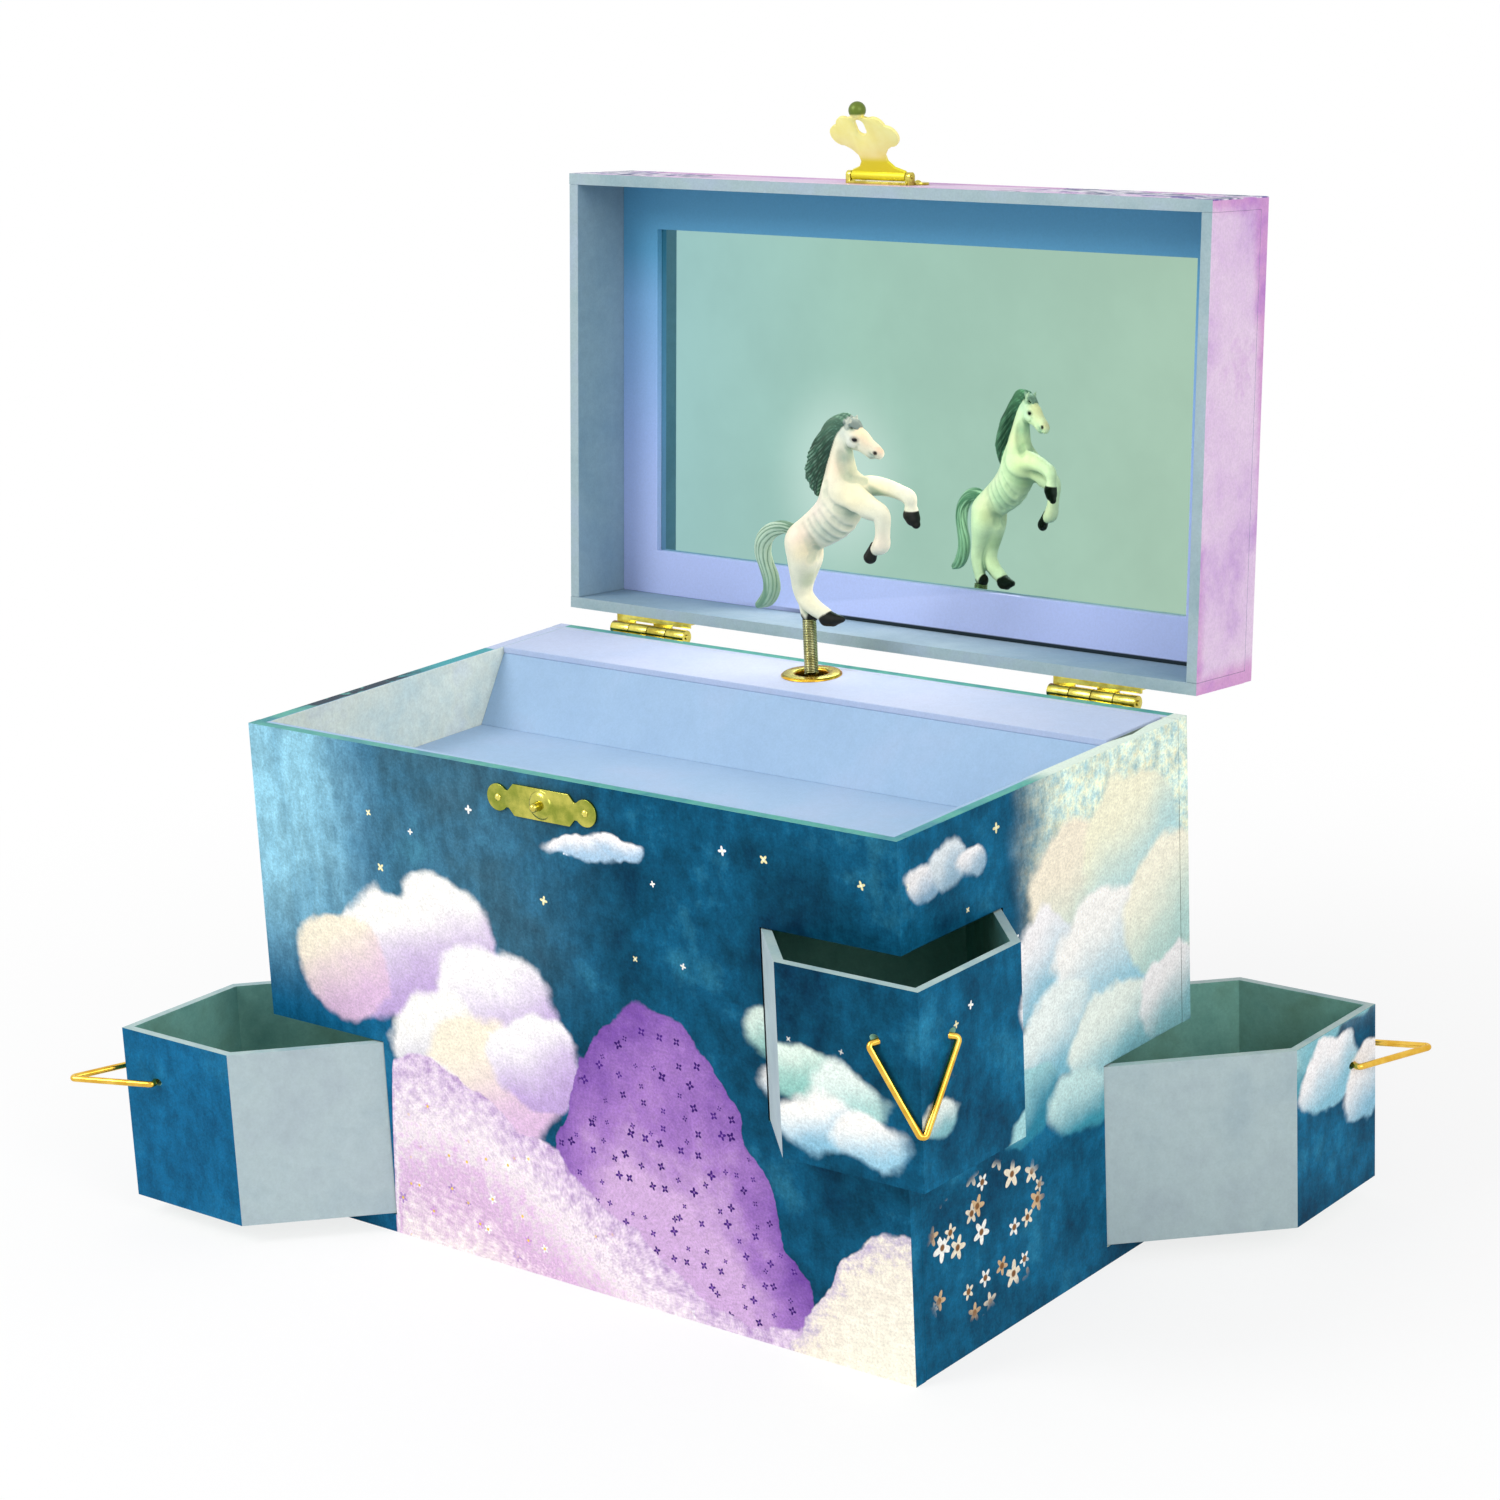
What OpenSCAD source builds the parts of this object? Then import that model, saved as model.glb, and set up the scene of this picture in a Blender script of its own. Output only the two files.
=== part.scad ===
// Musical jewellery box with a prancing horse on a spring, a mirrored lid,
// a tray and four drawers that slide out of the corners.
// X runs along the front, Y runs to the back, Z runs up. The origin is the middle of the underside.
// Every piece is drawn as it stands at rest: lid open, three drawers part way out.

/* [Box] */
// Length of the box along its front
body_l = 235; // [215:1:260]
// Depth of the box from front to back
body_w = 138.5; // [130:0.5:155]
// Thickness of the four walls
wall_t = 4.5; // [3.5:0.1:5.5]
// Thickness of the base board
base_t = 5.6; // [4:0.1:8]
// Clear height of each drawer bay
bay_h = 54.4; // [46:0.1:62]
// Thickness of the board between the lower and the upper bays
divider_t = 5.6; // [4:0.1:8]
// Thickness of the deck over the upper bays
deck_t = 5.5; // [4:0.1:8]
// Thickness of the card and padding laid on the deck
lining_t = 2.6; // [1:0.1:5]
// Depth of the tray from the rim down to its lining
tray_depth = 22.4; // [18:0.1:30]

/* [Step behind the tray] */
// Depth of the flat top of the step, measured from the back wall
step_top_w = 28.2; // [26:0.1:34]
// How far the foot of the step runs forward of its top edge
step_slope = 12.5; // [6:0.5:18]
// Thickness of the card that makes the step
step_card_t = 2; // [1.5:0.1:2.5]
// Gap that the step top leaves at the right wall
step_end_gap = 1.2; // [0.6:0.1:2]

/* [Drawers] */
// Length of each drawer face, from the corner of the box along one side
face_a = 45.2; // [42:0.1:48]
// Length of a drawer along its diagonal
drawer_len = 104; // [92:1:106]
// Thickness of the drawer's walls
drawer_wall_t = 2.6; // [2:0.1:3.5]
// Thickness of the drawer's bottom
drawer_bottom_t = 2.2; // [1.5:0.1:3.5]
// Gap under and over a drawer
slide_gap = 0.4; // [0.3:0.05:0.8]
// Gap on each side of a drawer in its slot
slot_gap = 0.4; // [0.3:0.05:0.8]
// How far the back board stands proud of the drawer's sides, as a stop
stop_lip = 2.4; // [1.5:0.1:3]
// Thickness of the card partitions that guide a drawer
guide_t = 1.6; // [1:0.1:2]
// How far the front left drawer is out
out_fl = 45.1; // [0:0.1:56]
// How far the front right drawer is out
out_fr = 26.8; // [0:0.1:56]
// How far the back right drawer is out
out_br = 54.7; // [0:0.1:56]
// How far the back left drawer is out
out_bl = 0; // [0:0.1:56]

/* [Drawer bails] */
// Diameter of the bail wire
bail_d = 1.9; // [1.5:0.1:2.4]
// Distance from the drawer's corner to the bail's hole, along the face
bail_hole_in = 14; // [11:0.1:17]
// Depth of the bail's hole below the top of the drawer
bail_drop = 14.6; // [10:0.1:20]
// Width of the bail over its shoulders
bail_w = 29; // [27:0.5:33]
// Reach of the bail from its pivot to its tip
bail_reach = 28; // [25:0.5:32]
// Angle of a hanging bail below the horizontal
bail_hang = 65; // [50:1:65]
// Radial clearance of the bail wire in its holes
bail_fit = 0.08; // [0.05:0.01:0.1]

/* [Lid] */
// Height of the lid
lid_h = 30.8; // [28:0.1:38]
// Thickness of the lid's walls
lid_wall_t = 3.5; // [3:0.1:4.5]
// Thickness of the lid's top board
lid_top_t = 4; // [3:0.1:5]
// Gap between the closed lid and the rim
rim_gap = 0.3; // [0.3:0.05:0.6]
// Angle the open lid stands at
lid_open = 94.86; // [90:0.01:96]
// Width of the frame around the mirror
frame_border = 14.2; // [10:0.1:20]
// Thickness of the frame board
frame_t = 2.3; // [1.5:0.1:3]
// Thickness of the mirror glass
mirror_t = 2; // [1.5:0.1:3]
// How far the glass runs under the frame
mirror_lap = 6; // [3:0.5:9]

/* [Hinges] */
// Distance from the back of the box to the hinge pins
pin_back = 4.4; // [4:0.1:5]
// Distance from each end of the box to the middle of its hinge
hinge_end = 33.9; // [28:0.1:57]
// Length of each hinge
hinge_l = 30; // [24:0.5:36]
// Radius of the hinge knuckles
knuckle_r = 2.2; // [1.8:0.1:2.4]
// Diameter of the hinge pins
pin_d = 1.6; // [1.2:0.1:2]
// Radial clearance of a pin in a turning knuckle
pin_fit = 0.05; // [0.02:0.01:0.08]
// Gap between neighbouring knuckles
knuckle_gap = 0.35; // [0.3:0.05:0.5]
// Thickness of the hinge leaves
leaf_t = 0.9; // [0.6:0.1:1.2]
// Height of each leaf on its wall
leaf_h = 11; // [8:0.5:14]
// Diameter of the small brass nails
nail_d = 1.2; // [1:0.1:1.5]

/* [Catch and latch] */
// Place of the catch and latch along the front
latch_x = -2.6; // [-20:0.1:20]
// Length of the catch plate
catch_l = 39.8; // [34:0.1:46]
// Height of the catch plate
catch_h = 9.2; // [8:0.1:11]
// Depth of the catch plate's middle below the rim
catch_drop = 8; // [7:0.1:10]
// Thickness of the plates of the catch and latch
plate_t = 0.8; // [0.6:0.1:1]
// Diameter of the catch stud's neck
stud_d = 2.6; // [2:0.1:2.8]
// Height of the latch's pivot above the foot of the lid
latch_up = 9.2; // [8.5:0.1:10]
// Width of the latch's foot, which is rolled around its pin
latch_foot_w = 19.6; // [16:0.2:22]
// Width of the base plate of the latch
latch_base_w = 27; // [25:0.5:32]
// Angle between the resting latch and the lid's front
latch_rest = 55; // [50:1:120]

/* [Figure and spring] */
// Place of the figure along the front
spindle_x = -4.7; // [-10:0.1:10]
// Distance from the back wall's inner face to the spindle
spindle_in = 9.75; // [9.75:0.05:12]
// Outside diameter of the rosette
rosette_d = 18.5; // [16:0.1:20]
// Bore of the rosette
rosette_bore = 10; // [8:0.1:11]
// Thickness of the rosette's flange
rosette_t = 0.8; // [0.6:0.1:1.2]
// Angle of the standing figure from the line of the front
figure_turn = 16; // [0:0.5:30]
// Outside diameter of the spring that carries the figure
spring_d = 4.3; // [3.6:0.1:5]
// Bore of the spring
spring_bore = 2.6; // [2.2:0.1:3]
// Height of the spring's top above the rim
spring_h = 17.5; // [15:0.1:22]
// Height above the rim at which the spring bends
bend_h = 6; // [5.5:0.1:7]

/* [Musical movement] */
// Width of the movement's frame plate
plate_w = 50; // [48:1:54]
// Thickness of the movement's frame plate
plate_y = 2; // [1.5:0.1:2]
// Diameter of the spindle
spindle_d = 2; // [1.8:0.1:2.4]
// Radius of the pinned cylinder
cyl_r = 6; // [5:0.1:6.4]
// Length of the pinned cylinder
cyl_l = 20; // [18:0.5:20]
// Number of notes on the comb
notes = 18; // [12:1:18]
// Radius of the spring barrel
barrel_r = 8.4; // [7:0.1:8.4]
// Diameter of the winding arbor
arbor_d = 3; // [2.5:0.1:3.5]
// Radial clearance of the turning shafts in the movement
shaft_fit = 0.05; // [0.03:0.01:0.08]
// Width of the winding key across its wings
key_w = 24; // [20:1:28]

/* [Hidden] */
$fn = 48;
eps = 0.01;

// Levels
z_low = base_t;
z_divider = z_low + bay_h;
z_high = z_divider + divider_t;
z_deck = z_high + bay_h;
z_lining = z_deck + deck_t;
z_tray = z_lining + lining_t;
z_rim = z_tray + tray_depth;
y_front = -body_w / 2;
y_back = body_w / 2;
y_back_in = y_back - wall_t;
x_in = body_l / 2 - wall_t;

// Drawers
half_w = face_a / sqrt(2);
drawer_h = bay_h - 2 * slide_gap;
lip_half_w = half_w + stop_lip;
guide_half_w = lip_half_w + slot_gap;
bail_u = bail_hole_in / sqrt(2);
bail_tip_half = 0.6;
bail_tip_r = 0.9;
bail_bend_r = 2.4;
bend_steps = 4;
wire_sides = 12;

// Lid
pin_y = y_back + pin_back;
pin_z = z_rim;
lid_z = z_rim + rim_gap;
lid_top_z = lid_z + lid_h - rim_gap;
glass_z = lid_top_z - lid_top_t - mirror_t;
frame_z = glass_z - frame_t;
lid_x_in = body_l / 2 - lid_wall_t;
lid_y_in = body_w / 2 - lid_wall_t;
knuckles = 4;
hinge_x = body_l / 2 - hinge_end;
knuckle_l = (hinge_l - (knuckles - 1) * knuckle_gap) / knuckles;

// Gears: the counts set the turning ratios, and each module is pitch diameter over count
crown_teeth = 28;
pinion_teeth = 8;
module_mm = 0.8;
fine_module = 0.5;
wheel_teeth = 28;
fan_teeth = 8;

// Figure and movement
spindle_y = y_back_in - spindle_in;
bend_z = z_rim + bend_h;
spring_foot_z = z_rim + 0.5;
socket_h = 1.5;
spring_top_z = z_rim + spring_h;
figure_z = spring_top_z + 0.1;
plate_front_y = y_back_in - plate_y;
lug_t = 2.5;
cyl_top_z = z_rim - 13.5;
cyl_z = cyl_top_z - cyl_l;
upper_lug_z = cyl_top_z + 0.5;
lower_lug_z = cyl_z - 0.5 - lug_t;
pinion_r = module_mm * pinion_teeth / 2;
crown_r = module_mm * crown_teeth / 2;
pinion_h = 4;
pinion_z = lower_lug_z - 0.5 - pinion_h;
barrel_z = pinion_z + pinion_h / 2 - crown_r;
tooth_up = module_mm;
tooth_down = 1.25 * module_mm;
tooth_w = module_mm;
tooth_in = 1.2;
tooth_out = 1.5;
crown_pitch_y = spindle_y + pinion_r;
crown_face_y = crown_pitch_y + tooth_down;
crown_t = 1.5;
barrel_l = 9.4;
barrel_front_y = crown_face_y - barrel_l;
fan_x = -fine_module * (wheel_teeth + fan_teeth) / 2;
wheel_z = upper_lug_z + lug_t + 0.4;
wheel_h = 1.4;
fan_lug_t = 1.6;
fan_lug_z = z_rim - step_card_t - 0.3 - fan_lug_t;
comb_y = spindle_y - 0.4;
comb_tip_x = spindle_x + cyl_r + 0.9;
comb_root_x = comb_tip_x + 9;
comb_end_x = comb_tip_x + 15;
comb_h = cyl_l - 1;

board_paper = [0.10, 0.36, 0.47];
inner_paper = [0.74, 0.80, 0.93];
grey_paper = [0.66, 0.71, 0.72];
lid_paper = [0.80, 0.68, 0.84];
brass = [0.86, 0.72, 0.30];
steel = [0.70, 0.71, 0.73];

// ---------- helpers ----------

// A box from its low corner to its high corner
module block(lo, hi) {
  translate(lo) cube(hi - lo);
}

// Moves to one corner of the box, with +X pointing out along the diagonal
module at_corner(sx, sy, out) {
  translate([sx * body_l / 2, sy * body_w / 2, 0])
    rotate([0, 0, atan2(sy, sx)])
      translate([out, 0, 0]) children();
}

// Turns what is drawn for the closed lid into the open lid
module lid_pose() {
  translate([0, pin_y, pin_z]) rotate([-lid_open, 0, 0])
    translate([0, -pin_y, -pin_z]) children();
}

// A cylinder along X, starting at the origin
module rod_x(r, l) {
  rotate([0, 90, 0]) cylinder(r = r, h = l);
}

// A cylinder along Y, starting at the origin and running to +Y
module rod_y(r, l) {
  rotate([-90, 0, 0]) cylinder(r = r, h = l);
}

// A nail with a low domed head, pointing along -Z from the surface it holds
module nail(d, depth) {
  translate([0, 0, -depth]) cylinder(d = d, h = depth);
  intersection() {
    translate([0, 0, -d * 0.55]) sphere(r = d * 1.1);
    cylinder(r = d, h = d);
  }
}

// ---------- box ----------

// The slot that a drawer needs, through the walls at one corner
module bay_slot(sx, sy, z0) {
  at_corner(sx, sy, 0)
    translate([-face_a * 1.4, -half_w - slot_gap, z0])
      cube([face_a * 1.4 + face_a, 2 * (half_w + slot_gap), bay_h]);
}

module all_slots() {
  bay_slot(-1, -1, z_low);
  bay_slot(1, 1, z_low);
  bay_slot(1, -1, z_high);
  bay_slot(-1, 1, z_high);
}

module base_board() {
  color(grey_paper)
    block([-x_in, y_front + wall_t, 0], [x_in, y_back_in, base_t]);
}

module front_panel() {
  color(board_paper) difference() {
    block([-body_l / 2, y_front, 0], [body_l / 2, y_front + wall_t, z_rim]);
    all_slots();
    for (s = [-1, 1])
      translate([latch_x + s * catch_nail_x, y_front, z_rim - catch_drop])
        rod_y(nail_d / 2, nail_depth);
    translate([latch_x, y_front, z_rim - catch_drop]) rod_y(stud_d / 2, nail_depth);
  }
}

module back_panel() {
  color(board_paper) difference() {
    block([-body_l / 2, y_back_in, 0], [body_l / 2, y_back, z_rim]);
    all_slots();
    translate([spindle_x, y_back_in - 1, barrel_z]) rod_y(arbor_d / 2 + 1, wall_t + 2);
    for (p = screw_places)
      translate([p[0], y_back_in - eps, p[1]]) rod_y(screw_d / 2, screw_depth + eps);
    for (s = [-1, 1], n = [-1, 1])
      translate([s * hinge_x + n * hinge_nail_x, y_back - nail_depth, z_rim - hinge_nail_z])
        rod_y(nail_d / 2, nail_depth + 1);
  }
}

module side_panel(s) {
  color(board_paper) difference() {
    translate([s * (body_l / 2 - wall_t / 2), 0, z_rim / 2])
      cube([wall_t, body_w - 2 * wall_t, z_rim], center = true);
    all_slots();
  }
}

module left_panel() side_panel(-1);
module right_panel() side_panel(1);

module divider_board() {
  color(grey_paper)
    block([-x_in, y_front + wall_t, z_divider], [x_in, y_back_in, z_high]);
}

// The room that the movement takes through the deck and its lining
module movement_well() {
  block([spindle_x - plate_w / 2 - 2, spindle_y - 14, z_deck - 1],
        [spindle_x + plate_w / 2 + 2, y_back, z_rim]);
}

module tray_deck() {
  color(grey_paper) difference() {
    block([-x_in, y_front + wall_t, z_deck], [x_in, y_back_in, z_lining]);
    movement_well();
  }
}

module tray_lining() {
  color(inner_paper) difference() {
    block([-x_in, y_front + wall_t, z_lining], [x_in, y_back_in, z_tray]);
    movement_well();
  }
}

step_edge_y = y_back_in - step_top_w;
step_foot_y = step_edge_y - step_slope;

module step_face() {
  color(inner_paper)
    translate([-x_in, 0, 0]) rotate([90, 0, 90]) linear_extrude(2 * x_in)
      polygon([
        [step_foot_y, z_tray], [step_foot_y + step_card_t * 1.2, z_tray],
        [step_edge_y + step_card_t * 1.2, z_rim - step_card_t], [step_edge_y, z_rim - step_card_t]
      ]);
}

module step_top() {
  color(inner_paper) difference() {
    block([-x_in, step_edge_y, z_rim - step_card_t], [x_in - step_end_gap, y_back_in, z_rim]);
    translate([spindle_x, spindle_y, z_rim - step_card_t - 1])
      cylinder(r = rosette_neck_r, h = step_card_t + 2);
  }
}

// ---------- drawers ----------

// Card partitions beside and behind one drawer, inside the walls
module guide(sx, sy, z0) {
  color(grey_paper) intersection() {
    block([-x_in, y_front + wall_t, z0], [x_in, y_back_in, z0 + bay_h]);
    at_corner(sx, sy, 0) translate([0, 0, z0]) difference() {
      translate([-drawer_len - slot_gap - guide_t, -guide_half_w - guide_t, 0])
        cube([drawer_len, 2 * (guide_half_w + guide_t), bay_h]);
      translate([-drawer_len - slot_gap, -guide_half_w, -1])
        cube([drawer_len + 2, 2 * guide_half_w, bay_h + 2]);
    }
  }
}

// Plan of a drawer: a square nose at the corner, then two sides along the diagonal
function drawer_plan(inset) = let(w = half_w - inset, tip = -inset * sqrt(2)) [
  [tip, 0], [tip - w, w], [-drawer_len + inset, w], [-drawer_len + inset, -w], [tip - w, -w]
];

module drawer_walls() {
  difference() {
    union() {
      linear_extrude(drawer_h) polygon(drawer_plan(0));
      translate([-drawer_len, -lip_half_w, 0]) cube([drawer_wall_t, 2 * lip_half_w, drawer_h]);
    }
    translate([0, 0, -1]) linear_extrude(drawer_h + 2) polygon(drawer_plan(drawer_wall_t));
    translate([-bail_u, half_w, drawer_h - bail_drop])
      rotate([90, 0, 0]) cylinder(r = bail_d / 2 + bail_fit, h = 2 * half_w);
  }
}

module drawer(sx, sy, z0, out) {
  color(board_paper) at_corner(sx, sy, out) translate([0, 0, z0 + slide_gap]) drawer_walls();
}

module drawer_bottom(sx, sy, z0, out) {
  color(grey_paper) at_corner(sx, sy, out) translate([0, 0, z0 + slide_gap])
    linear_extrude(drawer_bottom_t) polygon(drawer_plan(drawer_wall_t));
}

function unit(v) = v / norm(v);

// Points of a bend of radius r at b, on the way from a to c in one plane
function bend(a, b, c, r) = let(
  u = unit(a - b),
  w = unit(c - b),
  half = acos(u * w) / 2,
  centre = b + unit(u + w) * r / sin(half),
  from = b + u * r / tan(half) - centre,
  turn = (u[0] * w[1] > u[1] * w[0] ? -1 : 1) * (180 - 2 * half)
) [
  for (i = [0 : bend_steps]) let(g = turn * i / bend_steps)
    centre + [from[0] * cos(g) - from[1] * sin(g), from[0] * sin(g) + from[1] * cos(g)]
];

// Round wire along a path in the XY plane, as one swept solid
module wire(path, r) {
  last = len(path) - 1;
  points = [
    for (i = [0 : last]) let(t = unit(path[min(i + 1, last)] - path[max(i - 1, 0)]))
      for (k = [0 : wire_sides - 1]) let(a = 360 / wire_sides * (k + 0.5))
        [path[i][0] - t[1] * r * cos(a), path[i][1] + t[0] * r * cos(a), r * sin(a)]
  ];
  polyhedron(points, concat(
    [[for (k = [0 : wire_sides - 1]) k]],
    [[for (k = [wire_sides - 1 : -1 : 0]) last * wire_sides + k]],
    [
      for (i = [0 : last - 1], k = [0 : wire_sides - 1]) let(n = (k + 1) % wire_sides)
        [i * wire_sides + k, (i + 1) * wire_sides + k, (i + 1) * wire_sides + n, i * wire_sides + n]
    ]
  ));
}

// A bail in its own plane: +X is its reach and Y is its hinge line
module bail_shape() {
  shoulder = bail_w / 2 - bail_d / 2;
  tip = bail_reach - bail_d / 2;
  inside = bail_u - drawer_wall_t * sqrt(2) - 1;
  corners = [
    [0, -inside], [0, -shoulder], [tip, -bail_tip_half],
    [tip, bail_tip_half], [0, shoulder], [0, inside]
  ];
  wire(concat(
    [corners[0]],
    bend(corners[0], corners[1], corners[2], bail_bend_r),
    bend(corners[1], corners[2], [tip, 0], bail_tip_r),
    bend([tip, 0], corners[3], corners[4], bail_tip_r),
    bend(corners[3], corners[4], corners[5], bail_bend_r),
    [corners[5]]
  ), bail_d / 2);
}

// The bail of one drawer, turned down by an angle from the horizontal
module bail(sx, sy, z0, out, down) {
  color(brass) at_corner(sx, sy, out)
    translate([-bail_u, 0, z0 + slide_gap + drawer_h - bail_drop])
      rotate([0, down, 0]) bail_shape();
}

module guide_front_left() guide(-1, -1, z_low);
module guide_front_right() guide(1, -1, z_high);
module guide_back_left() guide(-1, 1, z_high);
module guide_back_right() guide(1, 1, z_low);
module drawer_front_left() drawer(-1, -1, z_low, out_fl);
module drawer_front_right() drawer(1, -1, z_high, out_fr);
module drawer_back_left() drawer(-1, 1, z_high, out_bl);
module drawer_back_right() drawer(1, 1, z_low, out_br);
module drawer_bottom_front_left() drawer_bottom(-1, -1, z_low, out_fl);
module drawer_bottom_front_right() drawer_bottom(1, -1, z_high, out_fr);
module drawer_bottom_back_left() drawer_bottom(-1, 1, z_high, out_bl);
module drawer_bottom_back_right() drawer_bottom(1, 1, z_low, out_br);
module bail_front_left() bail(-1, -1, z_low, out_fl, 0);
module bail_front_right() bail(1, -1, z_high, out_fr, bail_hang);
module bail_back_left() bail(-1, 1, z_high, out_bl, bail_hang);
module bail_back_right() bail(1, 1, z_low, out_br, 0);

// ---------- lid ----------

module lid_top() {
  color(lid_paper) lid_pose()
    block([-body_l / 2, y_front, lid_top_z - lid_top_t], [body_l / 2, y_back, lid_top_z]);
}

module lid_front() {
  color(lid_paper) lid_pose() difference() {
    block([-body_l / 2, y_front, lid_z], [body_l / 2, y_front + lid_wall_t, lid_top_z - lid_top_t]);
    for (s = [-1, 1])
      translate([latch_x + s * latch_nail_x, y_front - 1, latch_nail_z])
        rod_y(nail_d / 2, lid_nail_depth + 1);
  }
}

module lid_back() {
  color(lid_paper) lid_pose() difference() {
    block([-body_l / 2, y_back - lid_wall_t, lid_z], [body_l / 2, y_back, lid_top_z - lid_top_t]);
    for (s = [-1, 1], n = [-1, 1])
      translate([s * hinge_x + n * hinge_nail_x, y_back - lid_nail_depth, z_rim + hinge_nail_z])
        rod_y(nail_d / 2, lid_nail_depth + 1);
  }
}

module lid_side(s) {
  color(lid_paper) lid_pose()
    translate([s * (body_l / 2 - lid_wall_t / 2), 0, (lid_z + lid_top_z - lid_top_t) / 2])
      cube([lid_wall_t, 2 * lid_y_in, lid_top_z - lid_top_t - lid_z], center = true);
}

module lid_left() lid_side(-1);
module lid_right() lid_side(1);

module mirror_frame() {
  color(inner_paper) lid_pose() difference() {
    block([-lid_x_in, -lid_y_in, frame_z], [lid_x_in, lid_y_in, glass_z]);
    block([-lid_x_in + frame_border, -lid_y_in + frame_border, frame_z - 1],
          [lid_x_in - frame_border, lid_y_in - frame_border, glass_z + 1]);
  }
}

module looking_glass() {
  color([0.72, 0.84, 0.80]) lid_pose()
    block([-lid_x_in + frame_border - mirror_lap, -lid_y_in + frame_border - mirror_lap, glass_z],
          [lid_x_in - frame_border + mirror_lap, lid_y_in - frame_border + mirror_lap,
           glass_z + mirror_t]);
}

// ---------- hinges ----------

hinge_nail_x = hinge_l / 2 - 5;
hinge_nail_z = 6;
nail_depth = 3.6;
lid_nail_depth = 2.6;

// The leaf and two knuckles of one hinge, drawn for the body. up = -1 draws the lid's half.
module hinge_half(up, first, bore_r) {
  difference() {
    union() {
      translate([-hinge_l / 2, 0, up * (-leaf_h / 2 - knuckle_r / 2)])
        translate([0, 0, -(leaf_h - knuckle_r) / 2])
          cube([hinge_l, leaf_t, leaf_h - knuckle_r]);
      translate([-hinge_l / 2, 0, up > 0 ? -knuckle_r : knuckle_r - leaf_t])
        cube([hinge_l, pin_back - knuckle_r - knuckle_gap, leaf_t]);
      for (i = [first : 2 : knuckles - 1])
        translate([-hinge_l / 2 + i * (knuckle_l + knuckle_gap), 0, 0]) {
          translate([0, 0, up > 0 ? -knuckle_r : knuckle_r - leaf_t])
            cube([knuckle_l, pin_back, leaf_t]);
          translate([0, pin_back, 0]) rod_x(knuckle_r, knuckle_l);
        }
    }
    translate([-hinge_l, pin_back, 0]) rod_x(bore_r, 2 * hinge_l);
    for (n = [-1, 1])
      translate([n * hinge_nail_x, -1, -up * hinge_nail_z]) rod_y(nail_d / 2, leaf_t + 2);
  }
}

module hinge_body_leaf(s) {
  color(brass) translate([s * hinge_x, y_back, pin_z]) hinge_half(1, 1, pin_d / 2);
}

module hinge_lid_leaf(s) {
  color(brass) lid_pose()
    translate([s * hinge_x, y_back, pin_z]) hinge_half(-1, 0, pin_d / 2 + pin_fit);
}

module hinge_body_leaf_left() hinge_body_leaf(-1);
module hinge_body_leaf_right() hinge_body_leaf(1);
module hinge_lid_leaf_left() hinge_lid_leaf(-1);
module hinge_lid_leaf_right() hinge_lid_leaf(1);

module hinge_pins() {
  color(brass) for (s = [-1, 1])
    translate([s * hinge_x - hinge_l / 2 - 0.4, pin_y, pin_z]) rod_x(pin_d / 2, hinge_l + 0.8);
}

module hinge_body_nails() {
  color(brass) for (s = [-1, 1], n = [-1, 1])
    translate([s * hinge_x + n * hinge_nail_x, y_back + leaf_t, pin_z - hinge_nail_z])
      rotate([-90, 0, 0]) nail(nail_d, nail_depth + leaf_t - 0.3);
}

module hinge_lid_nails() {
  color(brass) lid_pose() for (s = [-1, 1], n = [-1, 1])
    translate([s * hinge_x + n * hinge_nail_x, y_back + leaf_t, pin_z + hinge_nail_z])
      rotate([-90, 0, 0]) nail(nail_d, lid_nail_depth + leaf_t - 0.3);
}

// ---------- catch on the box front ----------

catch_nail_x = catch_l / 2 - 4;
catch_lobe_r = 3.9;
boss_r = 4.2;
boss_h = 1.2;
stud_h = 3.6;

// Draws on the front face, with +Z pointing out of it and +Y up
module on_front(x, z) {
  translate([x, y_front, z]) rotate([90, 0, 0]) children();
}

module catch_outline() {
  flat = catch_l / 2 - 9.8;
  square([2 * (catch_l / 2 - 4), 5], center = true);
  for (s = [-1, 1]) translate([s * (catch_l / 2 - catch_lobe_r), 0]) circle(r = catch_lobe_r);
  polygon([
    [-flat - 2.2, -catch_h / 2 + 2.4], [-flat, -catch_h / 2], [flat, -catch_h / 2],
    [flat + 2.2, -catch_h / 2 + 2.4], [flat + 2.2, catch_h / 2 - 2.4], [flat, catch_h / 2],
    [-flat, catch_h / 2], [-flat - 2.2, catch_h / 2 - 2.4]
  ]);
}

module catch_plate() {
  color(brass) on_front(latch_x, z_rim - catch_drop) difference() {
    union() {
      linear_extrude(plate_t) catch_outline();
      translate([0, 0, plate_t]) rotate_extrude() polygon([
        [0, -eps], [boss_r, -eps], [boss_r - 0.5, boss_h * 0.6], [boss_r - 1.4, boss_h],
        [0, boss_h]
      ]);
    }
    for (s = [-1, 1]) translate([s * catch_nail_x, 0, -1]) cylinder(d = nail_d, h = plate_t + 2);
    translate([0, 0, -1]) cylinder(d = stud_d, h = plate_t + boss_h + 2);
  }
}

module catch_stud() {
  color(brass) on_front(latch_x, z_rim - catch_drop) {
    translate([0, 0, -nail_depth + 0.3]) cylinder(d = stud_d, h = nail_depth - 0.3 + stud_h);
    translate([0, 0, stud_h]) sphere(d = stud_d);
  }
}

module catch_nails() {
  color(brass) for (s = [-1, 1])
    on_front(latch_x + s * catch_nail_x, z_rim - catch_drop)
      translate([0, 0, plate_t]) nail(nail_d, nail_depth + plate_t - 0.3);
}

// ---------- latch on the lid front ----------

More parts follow.
